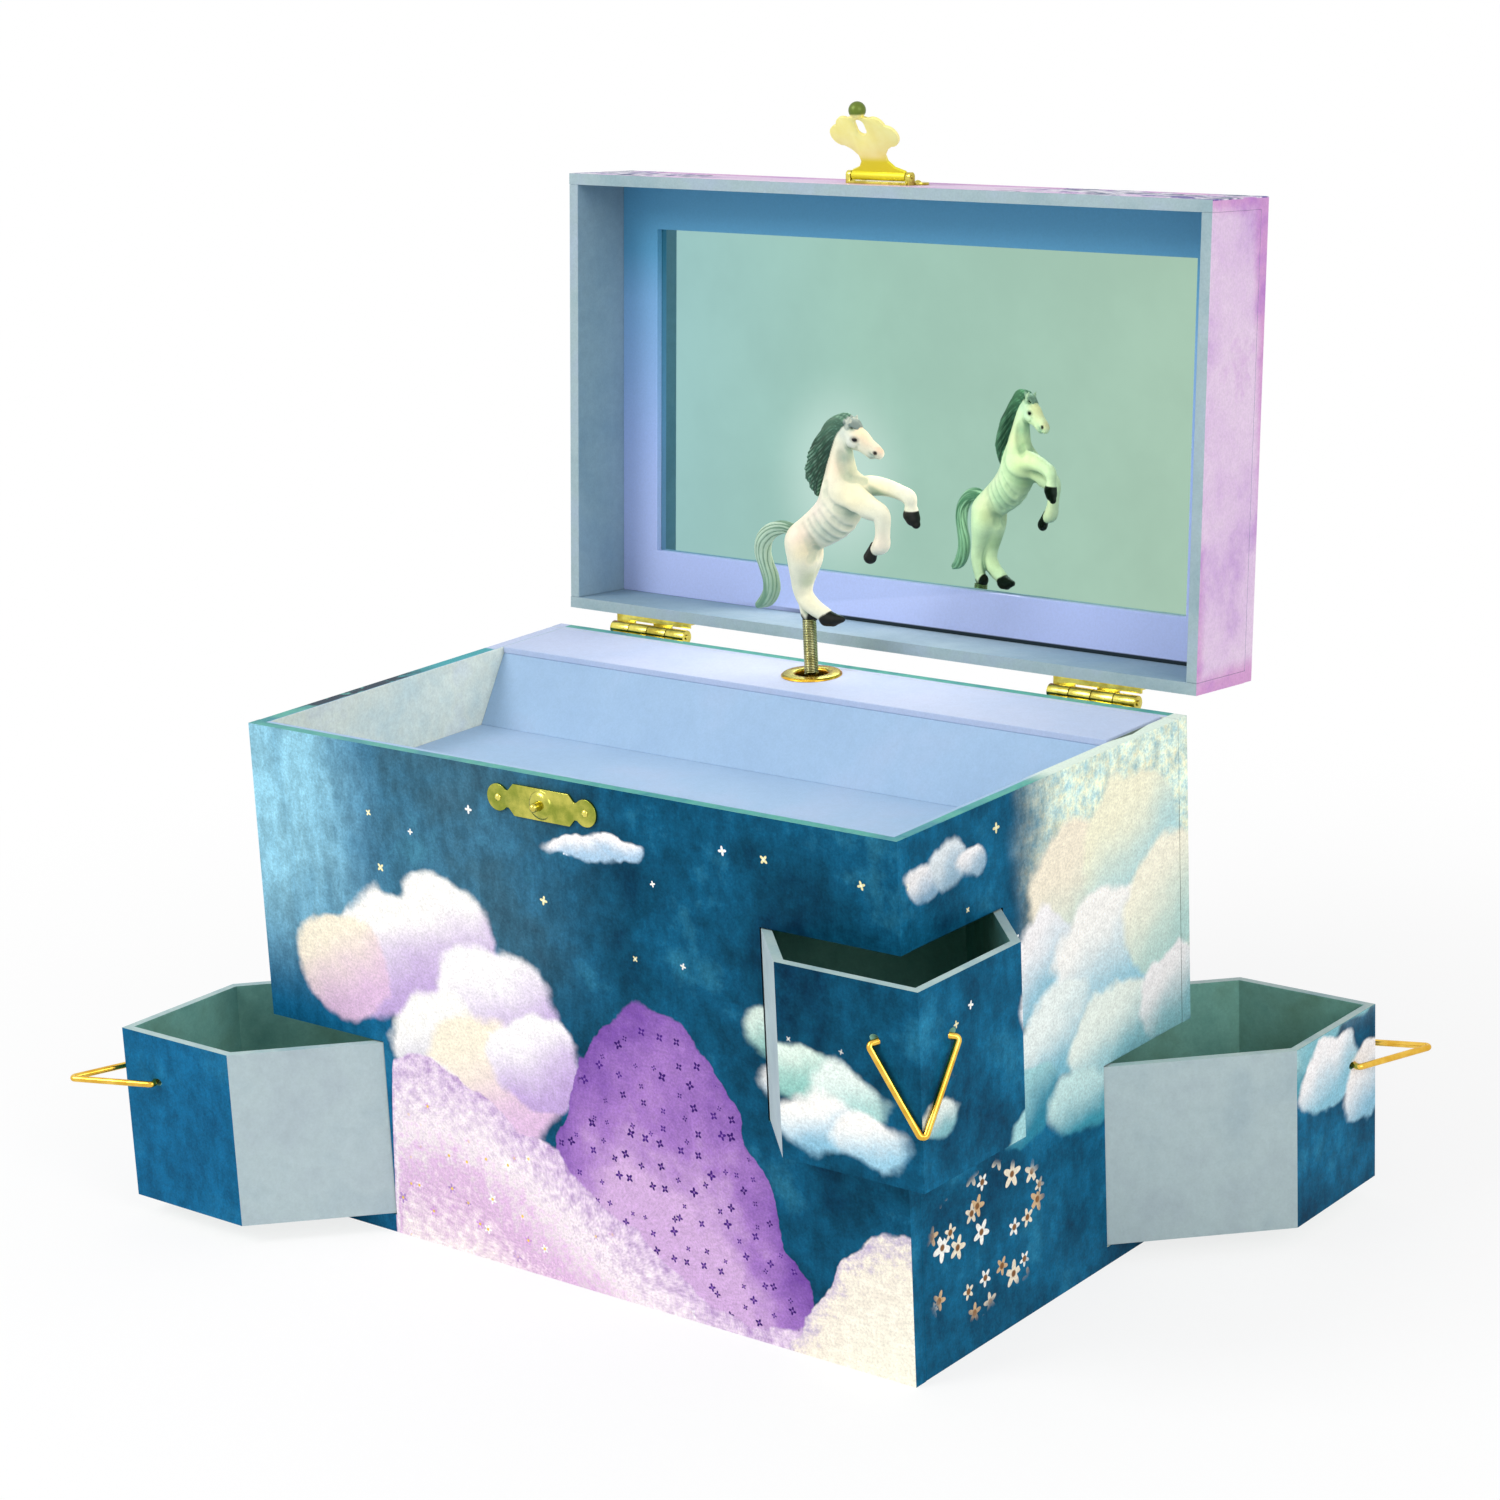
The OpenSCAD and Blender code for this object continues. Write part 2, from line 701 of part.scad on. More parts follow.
latch_r = 1.4;
latch_pin_d = 1.2;
latch_pin_out = plate_t + latch_r + 0.3;
latch_z = lid_z + latch_up;
latch_nail_x = latch_base_w / 2 - 3.4;
latch_nail_z = latch_z + 5.2;
ear_w = 1.6;
flap_t = 0.9;
flap_in = latch_pin_out - plate_t - boss_h - flap_t - 0.4;
tip_ball_y = 22.6;
tip_ball_r = 2.6;
tip_ball_out = 0.6;

module latch_base() {
  color(brass) lid_pose() on_front(latch_x, latch_z) difference() {
    union() {
      translate([-latch_base_w / 2 + 2.6, -2, 0]) cube([latch_base_w - 5.2, 9.6, plate_t]);
      for (s = [-1, 1]) translate([s * latch_nail_x, latch_nail_z - latch_z, 0])
        cylinder(r = 3.4, h = plate_t);
      for (s = [-1, 1])
        translate([s * (latch_foot_w / 2 + knuckle_gap + ear_w / 2), 0, 0]) {
          translate([-ear_w / 2, -latch_r, 0]) cube([ear_w, 2 * latch_r, latch_pin_out]);
          translate([-ear_w / 2, 0, latch_pin_out]) rod_x(latch_r, ear_w);
        }
    }
    translate([-latch_base_w, 0, latch_pin_out]) rod_x(latch_pin_d / 2, 2 * latch_base_w);
    for (s = [-1, 1]) translate([s * latch_nail_x, latch_nail_z - latch_z, -1])
      cylinder(d = nail_d, h = plate_t + 2);
  }
}

module latch_pin() {
  half = latch_foot_w / 2 + knuckle_gap + ear_w + 0.2;
  color(brass) lid_pose() on_front(latch_x, latch_z)
    translate([-half, 0, latch_pin_out]) rod_x(latch_pin_d / 2, 2 * half);
}

module latch_nails() {
  color(brass) lid_pose() for (s = [-1, 1])
    on_front(latch_x + s * latch_nail_x, latch_nail_z)
      translate([0, 0, plate_t]) nail(nail_d, lid_nail_depth + plate_t - 0.3);
}

// Outline of the flap: a narrow neck, two pairs of round lobes and a hole for the stud.
// +Y runs from the pivot to the tip.
module flap_outline() {
  hole_y = latch_up + rim_gap + catch_drop;
  difference() {
    union() {
      polygon([
        [-latch_foot_w / 2, 0], [-latch_foot_w / 2, 1.6], [-6.4, 3], [-4.8, 5.2], [-4.8, 7.4],
        [-6.6, 9.6], [-11.2, 12.4], [-8, 18], [-5, 20.4], [-2.4, 21],
        [2.4, 21], [5, 20.4], [8, 18], [11.2, 12.4], [6.6, 9.6],
        [4.8, 7.4], [4.8, 5.2], [6.4, 3], [latch_foot_w / 2, 1.6], [latch_foot_w / 2, 0]
      ]);
      for (s = [-1, 1]) {
        translate([s * 8.7, 14.4]) circle(r = 3.6);
        translate([s * 5.4, 17.6]) circle(r = 3.4);
      }
    }
    translate([0, hole_y - 1]) circle(d = stud_d + 0.8);
    translate([0, hole_y + 1]) circle(d = stud_d + 0.8);
    translate([-stud_d / 2 - 0.4, hole_y - 1]) square([stud_d + 0.8, 2]);
  }
}

module latch_flap() {
  color(brass) lid_pose() on_front(latch_x, latch_z) translate([0, 0, latch_pin_out])
    rotate([180 - latch_rest, 0, 0]) difference() {
      union() {
        translate([0, 0, flap_in]) linear_extrude(flap_t) flap_outline();
        translate([-latch_foot_w / 2, 0, 0]) rod_x(latch_r, latch_foot_w);
        translate([0, tip_ball_y, flap_in - tip_ball_out]) sphere(r = tip_ball_r);
      }
      translate([-latch_base_w, 0, 0]) rod_x(latch_pin_d / 2 + pin_fit, 2 * latch_base_w);
    }
}

// ---------- rosette, spring and figure ----------

rosette_neck_r = rosette_bore / 2 + 0.8;

module at_spindle(z) {
  translate([spindle_x, spindle_y, z]) children();
}

module rosette() {
  color(brass) at_spindle(z_rim) rotate_extrude() polygon([
    [rosette_bore / 2, -step_card_t], [rosette_neck_r, -step_card_t], [rosette_neck_r, 0],
    [rosette_d / 2, 0], [rosette_d / 2, rosette_t * 0.4], [rosette_d / 2 - 0.6, rosette_t],
    [rosette_bore / 2 + 0.5, rosette_t], [rosette_bore / 2, rosette_t * 0.5]
  ]);
}

module spring_post() {
  color(brass) at_spindle(spring_foot_z) difference() {
    cylinder(d = spring_d, h = spring_top_z - spring_foot_z);
    translate([0, 0, -1]) cylinder(d = spring_bore, h = spring_top_z - spring_foot_z + 2);
  }
}

// One limb of the horse: balls at [x, y, z, radius], joined two by two.
// x runs to the horse's head, y to its left and z up from the spring's top.
module limb(balls) {
  for (i = [0 : len(balls) - 2])
    hull() for (b = [balls[i], balls[i + 1]])
      translate([b[0], b[1], b[2]]) sphere(r = b[3], $fn = 14);
}

head = [[17, -1.2, 55.9, 2.6], [19, -1.2, 55.5, 2.9], [21.7, -1.2, 53.7, 2.3], [24.3, -1.2, 51.4, 2]];
jaw = [[17.3, -1.2, 54.5, 3], [22.5, -1.2, 50.6, 1.6]];
neck = [[15.1, -1.2, 57.5, 2.4], [13.6, -1.2, 52.7, 3.1], [13.1, -1.2, 47.7, 4], [13, -1.2, 41.7, 5.9]];
trunk = [[13.4, -1.2, 38.3, 6.9], [11.6, -1.2, 33.8, 7], [7.3, -1.2, 29.4, 6.4], [0.2, -1.2, 24, 5.6]];
near_fore = [[16, -3.6, 38, 4.4], [21.8, -4.7, 35.5, 3.6], [25.7, -5, 33.6, 2.9], [26.2, -5, 27, 2.4],
  [25.8, -5, 24.3, 2.6], [24.3, -5, 22.9, 2]];
near_fore_hoof = [[23.3, -5, 23.6, 1.5], [22.2, -5, 20.7, 2]];
far_fore = [[16.7, 1.4, 40.1, 3.6], [28.1, 2, 39.4, 2.5], [32.4, 2, 37.4, 2.3], [32.7, 2, 33.6, 2]];
far_fore_hoof = [[32.8, 2, 32.2, 2.4], [33.9, 2, 29.6, 1.6]];
near_hind = [[0.1, -2.8, 23.2, 5.4], [0, -3.4, 19, 4.9], [-0.4, -3.4, 13.9, 3.7], [-0.3, -3.2, 9.8, 3],
  [0.6, -3, 6.3, 2.7], [5.7, -3.2, 2.3, 2.2]];
near_hind_hoof = [[7.3, -3.2, 1.4, 2.1], [11.2, -3.2, 1.2, 1.2]];
far_hind = [[-0.2, 0.6, 22.4, 5.2], [0, 1, 17.6, 4.4], [-0.6, 1, 12.9, 3.1], [-1.2, 0.6, 5.1, 2.3]];
far_hind_hoof = [[-0.3, 0, 3, 2.2], [1.2, 0, 2.1, 2.1]];
tail = [[-4, -1.2, 27.4, 1.7], [-7.4, -1.2, 27.9, 1.7], [-10.7, -1.2, 26.9, 2.1], [-13.4, -1.2, 23.6, 2.4],
  [-13.7, -1.2, 19.5, 2.4], [-12.7, -1.2, 15.8, 2.3], [-11.3, -1.2, 12.1, 2.6], [-11.5, -1.2, 8.3, 2.6],
  [-13.4, -1.2, 5.1, 2.2], [-16.2, -1.2, 3.4, 1.1]];
mane = [[13.9, -1.2, 61.2, 1.7], [9.9, -1.2, 57.8, 2.5], [6.8, -1.2, 52.9, 2.9], [5.3, -1.2, 47.3, 2.8],
  [6, -1.2, 39.8, 1.2]];
ears = [[15.7, -2.8, 58.8, 0.9], [16.5, -2.9, 61.2, 0.4]];

module horse() {
  color([0.93, 0.93, 0.88]) at_spindle(figure_z) rotate([0, 0, figure_turn]) {
    for (balls = [head, jaw, neck, trunk, near_fore, near_fore_hoof, far_fore, far_fore_hoof, near_hind,
                  near_hind_hoof, far_hind, tail, mane, ears]) limb(balls);
    cylinder(r = 2.4, h = 3.6, $fn = 14);
    limb(far_hind_hoof);
  }
}

// ---------- musical movement ----------

screw_d = 2;
screw_depth = 3.4;
plate_top_z = fan_lug_z + fan_lug_t;
plate_low_z = barrel_z - 11;
screw_places = [
  [spindle_x - plate_w / 2 + 4, plate_low_z + 22], [spindle_x + plate_w / 2 - 4, plate_low_z + 22],
  [spindle_x + plate_w / 2 - 4, plate_top_z - 3]
];
comb_screw_x = comb_end_x - 3;
comb_screw_share = [0.2, 0.8];
comb_pad_y = comb_y + 0.8;

// A bearing lug that stands off the frame plate
module lug(x, z, t, r, bore_r) {
  difference() {
    union() {
      block([x - r, spindle_y, z], [x + r, plate_front_y + eps, z + t]);
      translate([x, spindle_y, z]) cylinder(r = r, h = t);
    }
    translate([x, spindle_y, z - 1]) cylinder(r = bore_r, h = t + 2);
  }
}

module movement_frame() {
  color(steel) difference() {
    union() {
      block([spindle_x - plate_w / 2, plate_front_y, plate_low_z],
            [spindle_x + plate_w / 2, y_back_in, plate_top_z]);
      lug(spindle_x, upper_lug_z, lug_t, 3.6, spindle_d / 2 + shaft_fit);
      lug(spindle_x, lower_lug_z, lug_t, 3.6, spindle_d / 2 + shaft_fit);
      lug(spindle_x + fan_x, upper_lug_z, lug_t, 2.2, fan_d / 2 + shaft_fit);
      lug(spindle_x + fan_x, fan_lug_z, fan_lug_t, 2.2, fan_d / 2 + shaft_fit);
      block([comb_root_x - 0.5, comb_pad_y, cyl_z + 0.5],
            [comb_end_x + 0.5, plate_front_y + eps, cyl_z + 0.5 + comb_h]);
    }
    translate([spindle_x, plate_front_y - 1, barrel_z]) rod_y(arbor_d / 2 + shaft_fit, plate_y + 2);
    for (p = screw_places) translate([p[0], plate_front_y - 1, p[1]]) rod_y(screw_d / 2, plate_y + 2);
    for (s = comb_screw_share) translate([comb_screw_x, comb_pad_y - 1, cyl_z + 0.5 + comb_h * s])
      rod_y(0.8, 5);
  }
}

module movement_screws() {
  color(steel) for (p = screw_places)
    translate([p[0], plate_front_y, p[1]]) {
      rod_y(screw_d / 2, plate_y + screw_depth - 0.2);
      difference() {
        translate([0, -1.1, 0]) rod_y(screw_d, 1.1);
        translate([-screw_d - 1, -1.6, -0.25]) cube([2 * screw_d + 2, 1, 0.5]);
      }
    }
}

// Steel comb: a back bar with one tooth per note
module note_comb() {
  pitch = comb_h / notes;
  color(steel) difference() {
    union() {
      block([comb_root_x, comb_y, cyl_z + 0.5], [comb_end_x, comb_pad_y, cyl_z + 0.5 + comb_h]);
      for (i = [0 : notes - 1])
        block([comb_tip_x, comb_y, cyl_z + 0.5 + pitch * (i + 0.14)],
              [comb_root_x + eps, comb_pad_y, cyl_z + 0.5 + pitch * (i + 0.86)]);
    }
    for (s = comb_screw_share) translate([comb_screw_x, comb_y - 1, cyl_z + 0.5 + comb_h * s])
      rod_y(0.8, 3);
  }
}

module comb_screws() {
  color(brass) for (s = comb_screw_share)
    translate([comb_screw_x, comb_y, cyl_z + 0.5 + comb_h * s]) {
      translate([0, -1, 0]) rod_y(1.7, 1);
      rod_y(0.8, 4);
    }
}

// A straight-sided gear along Z, with a tooth at the angle from and room for backlash.
// m is its module: the teeth stand m above and 1.2 m below the pitch circle.
module spur(m, teeth, height, from, root_w, tip_w) {
  root = m * teeth / 2 - 1.2 * m;
  tip = m * teeth / 2 + 0.9 * m;
  cylinder(r = root, h = height);
  for (i = [0 : teeth - 1]) rotate([0, 0, from + 360 / teeth * i]) linear_extrude(height)
    polygon([
      [root - 0.3, -root_w * m / 2], [tip, -tip_w * m / 2],
      [tip, tip_w * m / 2], [root - 0.3, root_w * m / 2]
    ]);
}

// Cylinder with its pinion, spindle and the collar under the spring
module pinned_cylinder() {
  color(brass) at_spindle(0) {
    translate([0, 0, cyl_z]) cylinder(r = cyl_r, h = cyl_l);
    translate([0, 0, pinion_z]) spur(module_mm, pinion_teeth, pinion_h, 90, 1.25, 0.65);
    translate([0, 0, wheel_z]) spur(fine_module, wheel_teeth, wheel_h, 180, 1.35, 0.6);
    translate([0, 0, pinion_z - 0.4]) cylinder(d = spindle_d, h = spring_foot_z - pinion_z + 0.4);
    translate([0, 0, spring_foot_z - socket_h]) cylinder(d = spring_d, h = socket_h);
    for (i = [0 : notes - 1], k = [0, 1])
      rotate([0, 0, 61 + i * 137.5 + k * 150])
        translate([0, 0, cyl_z + 0.5 + comb_h / notes * (i + 0.5)])
          rod_x(0.22, cyl_r + 0.55, $fn = 16);
  }
}

module spring_barrel() {
  color(brass) translate([spindle_x, crown_face_y, barrel_z]) difference() {
    union() {
      rod_y(crown_r + tooth_out, crown_t);
      translate([0, -barrel_l, 0]) rod_y(barrel_r, barrel_l + eps);
      for (i = [0 : crown_teeth - 1]) rotate([0, 360 / crown_teeth * (i + 0.5), 0])
        translate([-tooth_w / 2, eps - tooth_down - tooth_up, crown_r - tooth_in])
          cube([tooth_w, tooth_down + tooth_up, tooth_in + tooth_out]);
    }
    translate([0, -barrel_l - 1, 0]) rod_y(arbor_d / 2 + shaft_fit, barrel_l + crown_t + 2);
  }
}

key_gap = 1.2;
key_socket = 2.8;

// Arbor with a collar on each side of the barrel
module winding_arbor() {
  collar_r = arbor_d / 2 + 1.2;
  collar_t = 1.2;
  color(steel) translate([spindle_x, 0, barrel_z]) {
    translate([0, barrel_front_y - 2, 0])
      rod_y(arbor_d / 2, y_back + key_gap + key_socket - barrel_front_y + 2);
    translate([0, barrel_front_y - 0.4 - collar_t, 0]) rod_y(collar_r, collar_t);
    translate([0, crown_face_y + crown_t + 0.4, 0])
      rod_y(collar_r, plate_front_y - crown_face_y - crown_t - 0.7);
  }
}

// Butterfly key on the arbor behind the box
module winding_key() {
  wing_r = 4.5;
  wing_x = key_w / 2 - wing_r;
  wing_y = 9.5;
  key_t = 1.8;
  color(brass) translate([spindle_x, y_back + key_gap, barrel_z]) difference() {
    union() {
      rod_y(3.4, wing_y - 0.5);
      for (s = [-1, 1]) translate([s * wing_x, wing_y, -key_t / 2]) cylinder(r = wing_r, h = key_t);
      block([-wing_x, wing_y - 3.9, -key_t / 2], [wing_x, wing_y + 3.5, key_t / 2]);
    }
    translate([0, -1, 0]) rod_y(arbor_d / 2, key_socket + 1);
    for (s = [-1, 1]) translate([s * wing_x, wing_y, -key_t]) cylinder(r = 2, h = 2 * key_t);
  }
}

fan_d = 1.2;
blade_r = 5;

// Air brake: a pinion on the cylinder's wheel turns two blades
module governor_fan() {
  top_z = fan_lug_z + fan_lug_t;
  color(brass) translate([spindle_x + fan_x, spindle_y, 0]) {
    translate([0, 0, upper_lug_z - 0.6]) cylinder(d = fan_d, h = top_z - upper_lug_z + 0.6);
    translate([0, 0, wheel_z]) spur(fine_module, fan_teeth, wheel_h, 180 / fan_teeth, 1.2, 0.6);
    translate([-blade_r, -0.2, wheel_z + wheel_h + 0.5])
      cube([2 * blade_r, 0.4, fan_lug_z - wheel_z - wheel_h - 0.9]);
  }
}

base_board();
front_panel();
back_panel();
left_panel();
right_panel();
divider_board();
tray_deck();
tray_lining();
step_face();
step_top();
guide_front_left();
guide_front_right();
guide_back_left();
guide_back_right();
drawer_front_left();
drawer_front_right();
drawer_back_left();
drawer_back_right();
drawer_bottom_front_left();
drawer_bottom_front_right();
drawer_bottom_back_left();
drawer_bottom_back_right();
bail_front_left();
bail_front_right();
bail_back_left();
bail_back_right();
lid_top();
lid_front();
lid_back();
lid_left();
lid_right();
mirror_frame();
looking_glass();  // mirror
hinge_body_leaf_left();
hinge_body_leaf_right();
hinge_lid_leaf_left();
hinge_lid_leaf_right();
hinge_pins();
hinge_body_nails();
hinge_lid_nails();
catch_plate();
catch_stud();
catch_nails();
latch_base();
latch_pin();
latch_nails();
latch_flap();
rosette();
spring_post();
horse();
movement_frame();
movement_screws();
note_comb();
comb_screws();
pinned_cylinder();
spring_barrel();
winding_arbor();
winding_key();
governor_fan();
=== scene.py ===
"""Looks for the musical jewellery box: papered boards, brass, mirror and the horse figure."""

import math

import bmesh
import bpy
import numpy as np
from mathutils import Matrix, Vector


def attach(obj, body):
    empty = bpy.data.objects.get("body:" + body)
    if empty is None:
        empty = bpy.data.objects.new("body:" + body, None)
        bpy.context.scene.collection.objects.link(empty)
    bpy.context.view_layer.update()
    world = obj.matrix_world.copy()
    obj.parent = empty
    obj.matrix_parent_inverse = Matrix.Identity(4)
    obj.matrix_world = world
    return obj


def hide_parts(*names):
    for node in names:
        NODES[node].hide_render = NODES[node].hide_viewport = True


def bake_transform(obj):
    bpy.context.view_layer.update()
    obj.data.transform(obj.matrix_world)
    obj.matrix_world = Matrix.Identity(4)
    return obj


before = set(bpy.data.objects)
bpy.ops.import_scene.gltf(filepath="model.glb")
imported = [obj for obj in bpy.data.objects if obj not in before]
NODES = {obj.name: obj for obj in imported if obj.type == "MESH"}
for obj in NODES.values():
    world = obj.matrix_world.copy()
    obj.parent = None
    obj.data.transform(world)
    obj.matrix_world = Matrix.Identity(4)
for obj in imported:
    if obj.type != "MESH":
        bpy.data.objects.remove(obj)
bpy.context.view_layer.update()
MM = 0.001

# Sizes in millimetres that the CAD model fixes
BODY_L, BODY_W, WALL = 235.0, 138.5, 4.5
LOW_BAY, HIGH_BAY = 5.6, 65.6
PIN_Y, PIN_Z = 73.65, 150.5
LID_OPEN = 94.86
LEAN = math.tan(math.radians(LID_OPEN - 90))
SPINDLE = (-4.7, 55)
FIGURE_Z = 168.1
# for each corner: signs in x and y, how far its drawer is out, the foot of its bay, its bail's droop in degrees
CORNERS = {"front_left": (-1, -1, 45.1, LOW_BAY, 0), "front_right": (1, -1, 26.8, HIGH_BAY, 65),
           "back_left": (-1, 1, 0, HIGH_BAY, 65), "back_right": (1, 1, 54.7, LOW_BAY, 0)}


# ---------- materials ----------
def srgb(code):
    """A colour written as #rrggbb, as Blender's linear colour."""
    parts = [int(code[i : i + 2], 16) / 255 for i in (1, 3, 5)]
    return (*[c / 12.92 if c <= 0.04045 else ((c + 0.055) / 1.055) ** 2.4 for c in parts], 1.0)


def stops(tints, places=(0.3, 0.5, 0.7)):
    """Stops of a colour ramp, from colours with blanks between them."""
    return list(zip(places, tints.split()))


class Tree:
    """Writes into one node tree, from sockets and numbers."""

    def __init__(self, tree):
        self.tree = tree

    def node(self, kind, **props):
        n = self.tree.nodes.new(kind)
        for key, value in props.items():
            setattr(n, key, value)
        return n

    def put(self, socket, value):
        if isinstance(value, bpy.types.NodeSocket):
            self.tree.links.new(value, socket)
        else:
            socket.default_value = srgb(value) if isinstance(value, str) else value

    def fill(self, n, *values, **named):
        """Fills a node's inputs, in turn or by name, and gives its first output."""
        for socket, value in [*zip(n.inputs, values), *[(n.inputs[key], named[key]) for key in named]]:
            self.put(socket, value)
        return n.outputs[0]

    def math(self, op, *values):
        return self.fill(self.node("ShaderNodeMath", operation=op), *values)

    def seen(self):
        """1 for rays from the camera, off a mirror or through glass, and 0 for other light."""
        path = self.node("ShaderNodeLightPath").outputs
        return self.math("MAXIMUM", path["Is Camera Ray"],
                         self.math("MAXIMUM", path["Is Glossy Ray"], path["Is Transmission Ray"]))


class Paint(Tree):
    """Writes one material. tone is its colour so far."""

    def __init__(self, name, rough=0.5, metal=0, shine=0.5):
        self.mat = bpy.data.materials.new(name)
        self.mat.use_nodes = True
        super().__init__(self.mat.node_tree)
        self.bsdf = self.tree.nodes["Principled BSDF"]
        self.fill(self.bsdf, Roughness=rough, Metallic=metal)
        self.put(self.bsdf.inputs["Specular IOR Level"], shine)

    def times(self, a, *others):
        for b in others:
            a = self.math("MULTIPLY", a, b)
        return a

    def madd(self, a, b, c):
        """a times b, plus c."""
        return self.math("MULTIPLY_ADD", a, b, c)

    def minus(self, a, b):
        return self.math("SUBTRACT", a, b)

    def size(self, a):
        return self.math("ABSOLUTE", a)

    def smooth(self, x, lo, hi, to_lo=0, to_hi=1):
        """A soft step as x goes from lo to hi."""
        return self.fill(self.node("ShaderNodeMapRange", interpolation_type="SMOOTHSTEP"), x, lo, hi, to_lo, to_hi)

    def window(self, *steps):
        """Product of soft steps, each given as for smooth."""
        return self.times(*[self.smooth(*step) for step in steps])

    def vmath(self, op, *values):
        n = self.node("ShaderNodeVectorMath", operation=op)
        self.fill(n, *values)
        return n.outputs["Value" if op in ("LENGTH", "DOT_PRODUCT") else "Vector"]

    def about(self, at, middle, by):
        """Where at is as seen from middle, multiplied by the vector by."""
        return self.vmath("MULTIPLY", self.vmath("SUBTRACT", at, middle), by)

    def xyz(self, vector):
        n = self.node("ShaderNodeSeparateXYZ")
        self.fill(n, vector)
        return list(n.outputs)

    def noise(self, at, scale, detail=3, rough=0.55, stretch=None, out="Fac"):
        """Noise whose features are about 1/scale units of the given coordinates wide."""
        if stretch:
            at = self.vmath("MULTIPLY", at, stretch)
        n = self.node("ShaderNodeTexNoise")
        self.fill(n, Vector=at, Scale=scale, Detail=detail, Roughness=rough)
        return n.outputs[out]

    def ramp(self, fac, marks, ease="LINEAR"):
        n = self.node("ShaderNodeValToRGB")
        n.color_ramp.interpolation = ease
        while len(n.color_ramp.elements) < len(marks):
            n.color_ramp.elements.new(0.5)
        for element, (place, colour) in zip(n.color_ramp.elements, marks):
            element.position = place
            element.color = srgb(colour)
        return self.fill(n, fac)

    def mix(self, fac, a, b, blend="MIX"):
        n = self.node("ShaderNodeMix", data_type="RGBA", blend_type=blend)
        for socket, value in (0, fac), (6, a), (7, b):
            self.put(n.inputs[socket], value)
        return n.outputs[2]

    def place(self):
        """Place in the piece's own frame, in millimetres."""
        at = self.node("ShaderNodeTexCoord").outputs["Object"]
        return self.fill(self.node("ShaderNodeVectorMath", operation="SCALE"), at, Scale=1000)

    def colour(self, value):
        self.tone = value
        self.put(self.bsdf.inputs["Base Color"], value)

    def lay(self, fac, value):
        """Lays another colour over the one so far."""
        self.colour(self.mix(fac, self.tone, value))

    def shade(self, amount):
        """Makes the colour darker or lighter by a factor around 1."""
        self.colour(self.mix(1, self.tone, self.fill(self.node("ShaderNodeCombineXYZ"), *[amount] * 3), "MULTIPLY"))

    def bump(self, height, strength, distance_mm):
        bump = self.fill(self.node("ShaderNodeBump"), Height=height, Strength=strength, Distance=distance_mm * MM)
        self.fill(self.bsdf, Normal=bump)

    def rough(self, value):
        self.fill(self.bsdf, Roughness=value)

    def tooth(self, at, darker, lighter, bump=0.1, scale=1.5):
        """The fine grain of paper, in its colour and its surface."""
        grain = self.noise(at, scale, 3, 0.65)
        self.shade(self.smooth(grain, 0.25, 0.75, darker, lighter))
        if bump:
            self.bump(grain, bump, 0.05)
        return self.mat


# ---- the printed sky ----
WHITE, SNOW, CREAM, LILAC, ROSE, BLUE, MINT = "#fdfafa #fffdf8 #faf0da #c3a9da #e0bfdf #a9c9e2 #b9dcd6".split()
# rounds of cloud: middle, half width and height in mm, lit and shaded colour
NEAR_CLOUDS = [
    (10, 131, 15, 4, WHITE, BLUE), (22, 134, 10, 4, WHITE, BLUE),
    (78, 92, 15, 8, "#dff0e4", "#8fc6bd"), (94, 87, 15, 10, "#e9f5ee", "#a9d6d2"), (84, 78, 16, 10, SNOW, "#8fc2da"),
    (101, 76, 14, 9, SNOW, "#9ccbe0"),
    (-66, 88, 23, 20, SNOW, LILAC), (-44, 97, 22, 19, SNOW, LILAC), (-86, 82, 19, 17, CREAM, ROSE),
    (-26, 80, 25, 19, WHITE, LILAC), (-48, 62, 21, 21, SNOW, "#b9b6cf"), (-30, 56, 27, 22, CREAM, ROSE),
    (-50, 42, 16, 17, SNOW, ROSE), (-12, 66, 18, 15, WHITE, LILAC),
    (-150, 112, 20, 8, WHITE, BLUE), (-164, 115, 13, 8, WHITE, BLUE), (-208, 80, 26, 18, WHITE, LILAC),
    (-232, 70, 24, 16, CREAM, ROSE), (-184, 66, 22, 13, WHITE, BLUE),
]
FAR_CLOUDS = [
    (126, 84, 9, 7, "#eef5ef", "#86bcc4"), (128, 137, 8, 6, WHITE, "#8fb4cf"), (139, 139, 9, 7, "#e9f0f4", "#9dbdd2"),
    (150, 137, 8, 5, WHITE, "#9dbdd2"),
    (200, 112, 27, 25, CREAM, MINT), (226, 122, 26, 23, "#fbf8dc", "#b5dde0"), (180, 98, 18, 17, WHITE, "#8fc6da"),
    (212, 92, 28, 21, SNOW, "#9fcfdf"), (242, 98, 24, 21, "#fdf9e4", MINT), (188, 76, 20, 15, "#f2faf6", "#7fbccf"),
    (216, 68, 26, 15, "#eef7ee", "#86c0cc"), (246, 72, 20, 15, WHITE, "#8fc6cf"),
    (172, 62, 17, 11, "#a6d6da", "#2f87a2"), (198, 54, 19, 10, "#c9e8e6", "#3f97ac"),
    (228, 47, 20, 11, WHITE, "#8fc6da"), (255, 37, 19, 12, WHITE, "#8fc2da"),
    (292, 96, 26, 18, WHITE, LILAC), (318, 84, 30, 20, CREAM, ROSE), (350, 92, 24, 15, WHITE, BLUE),
    (402, 118, 24, 9, WHITE, BLUE), (424, 121, 15, 8, WHITE, BLUE), (456, 70, 26, 18, WHITE, LILAC),
]


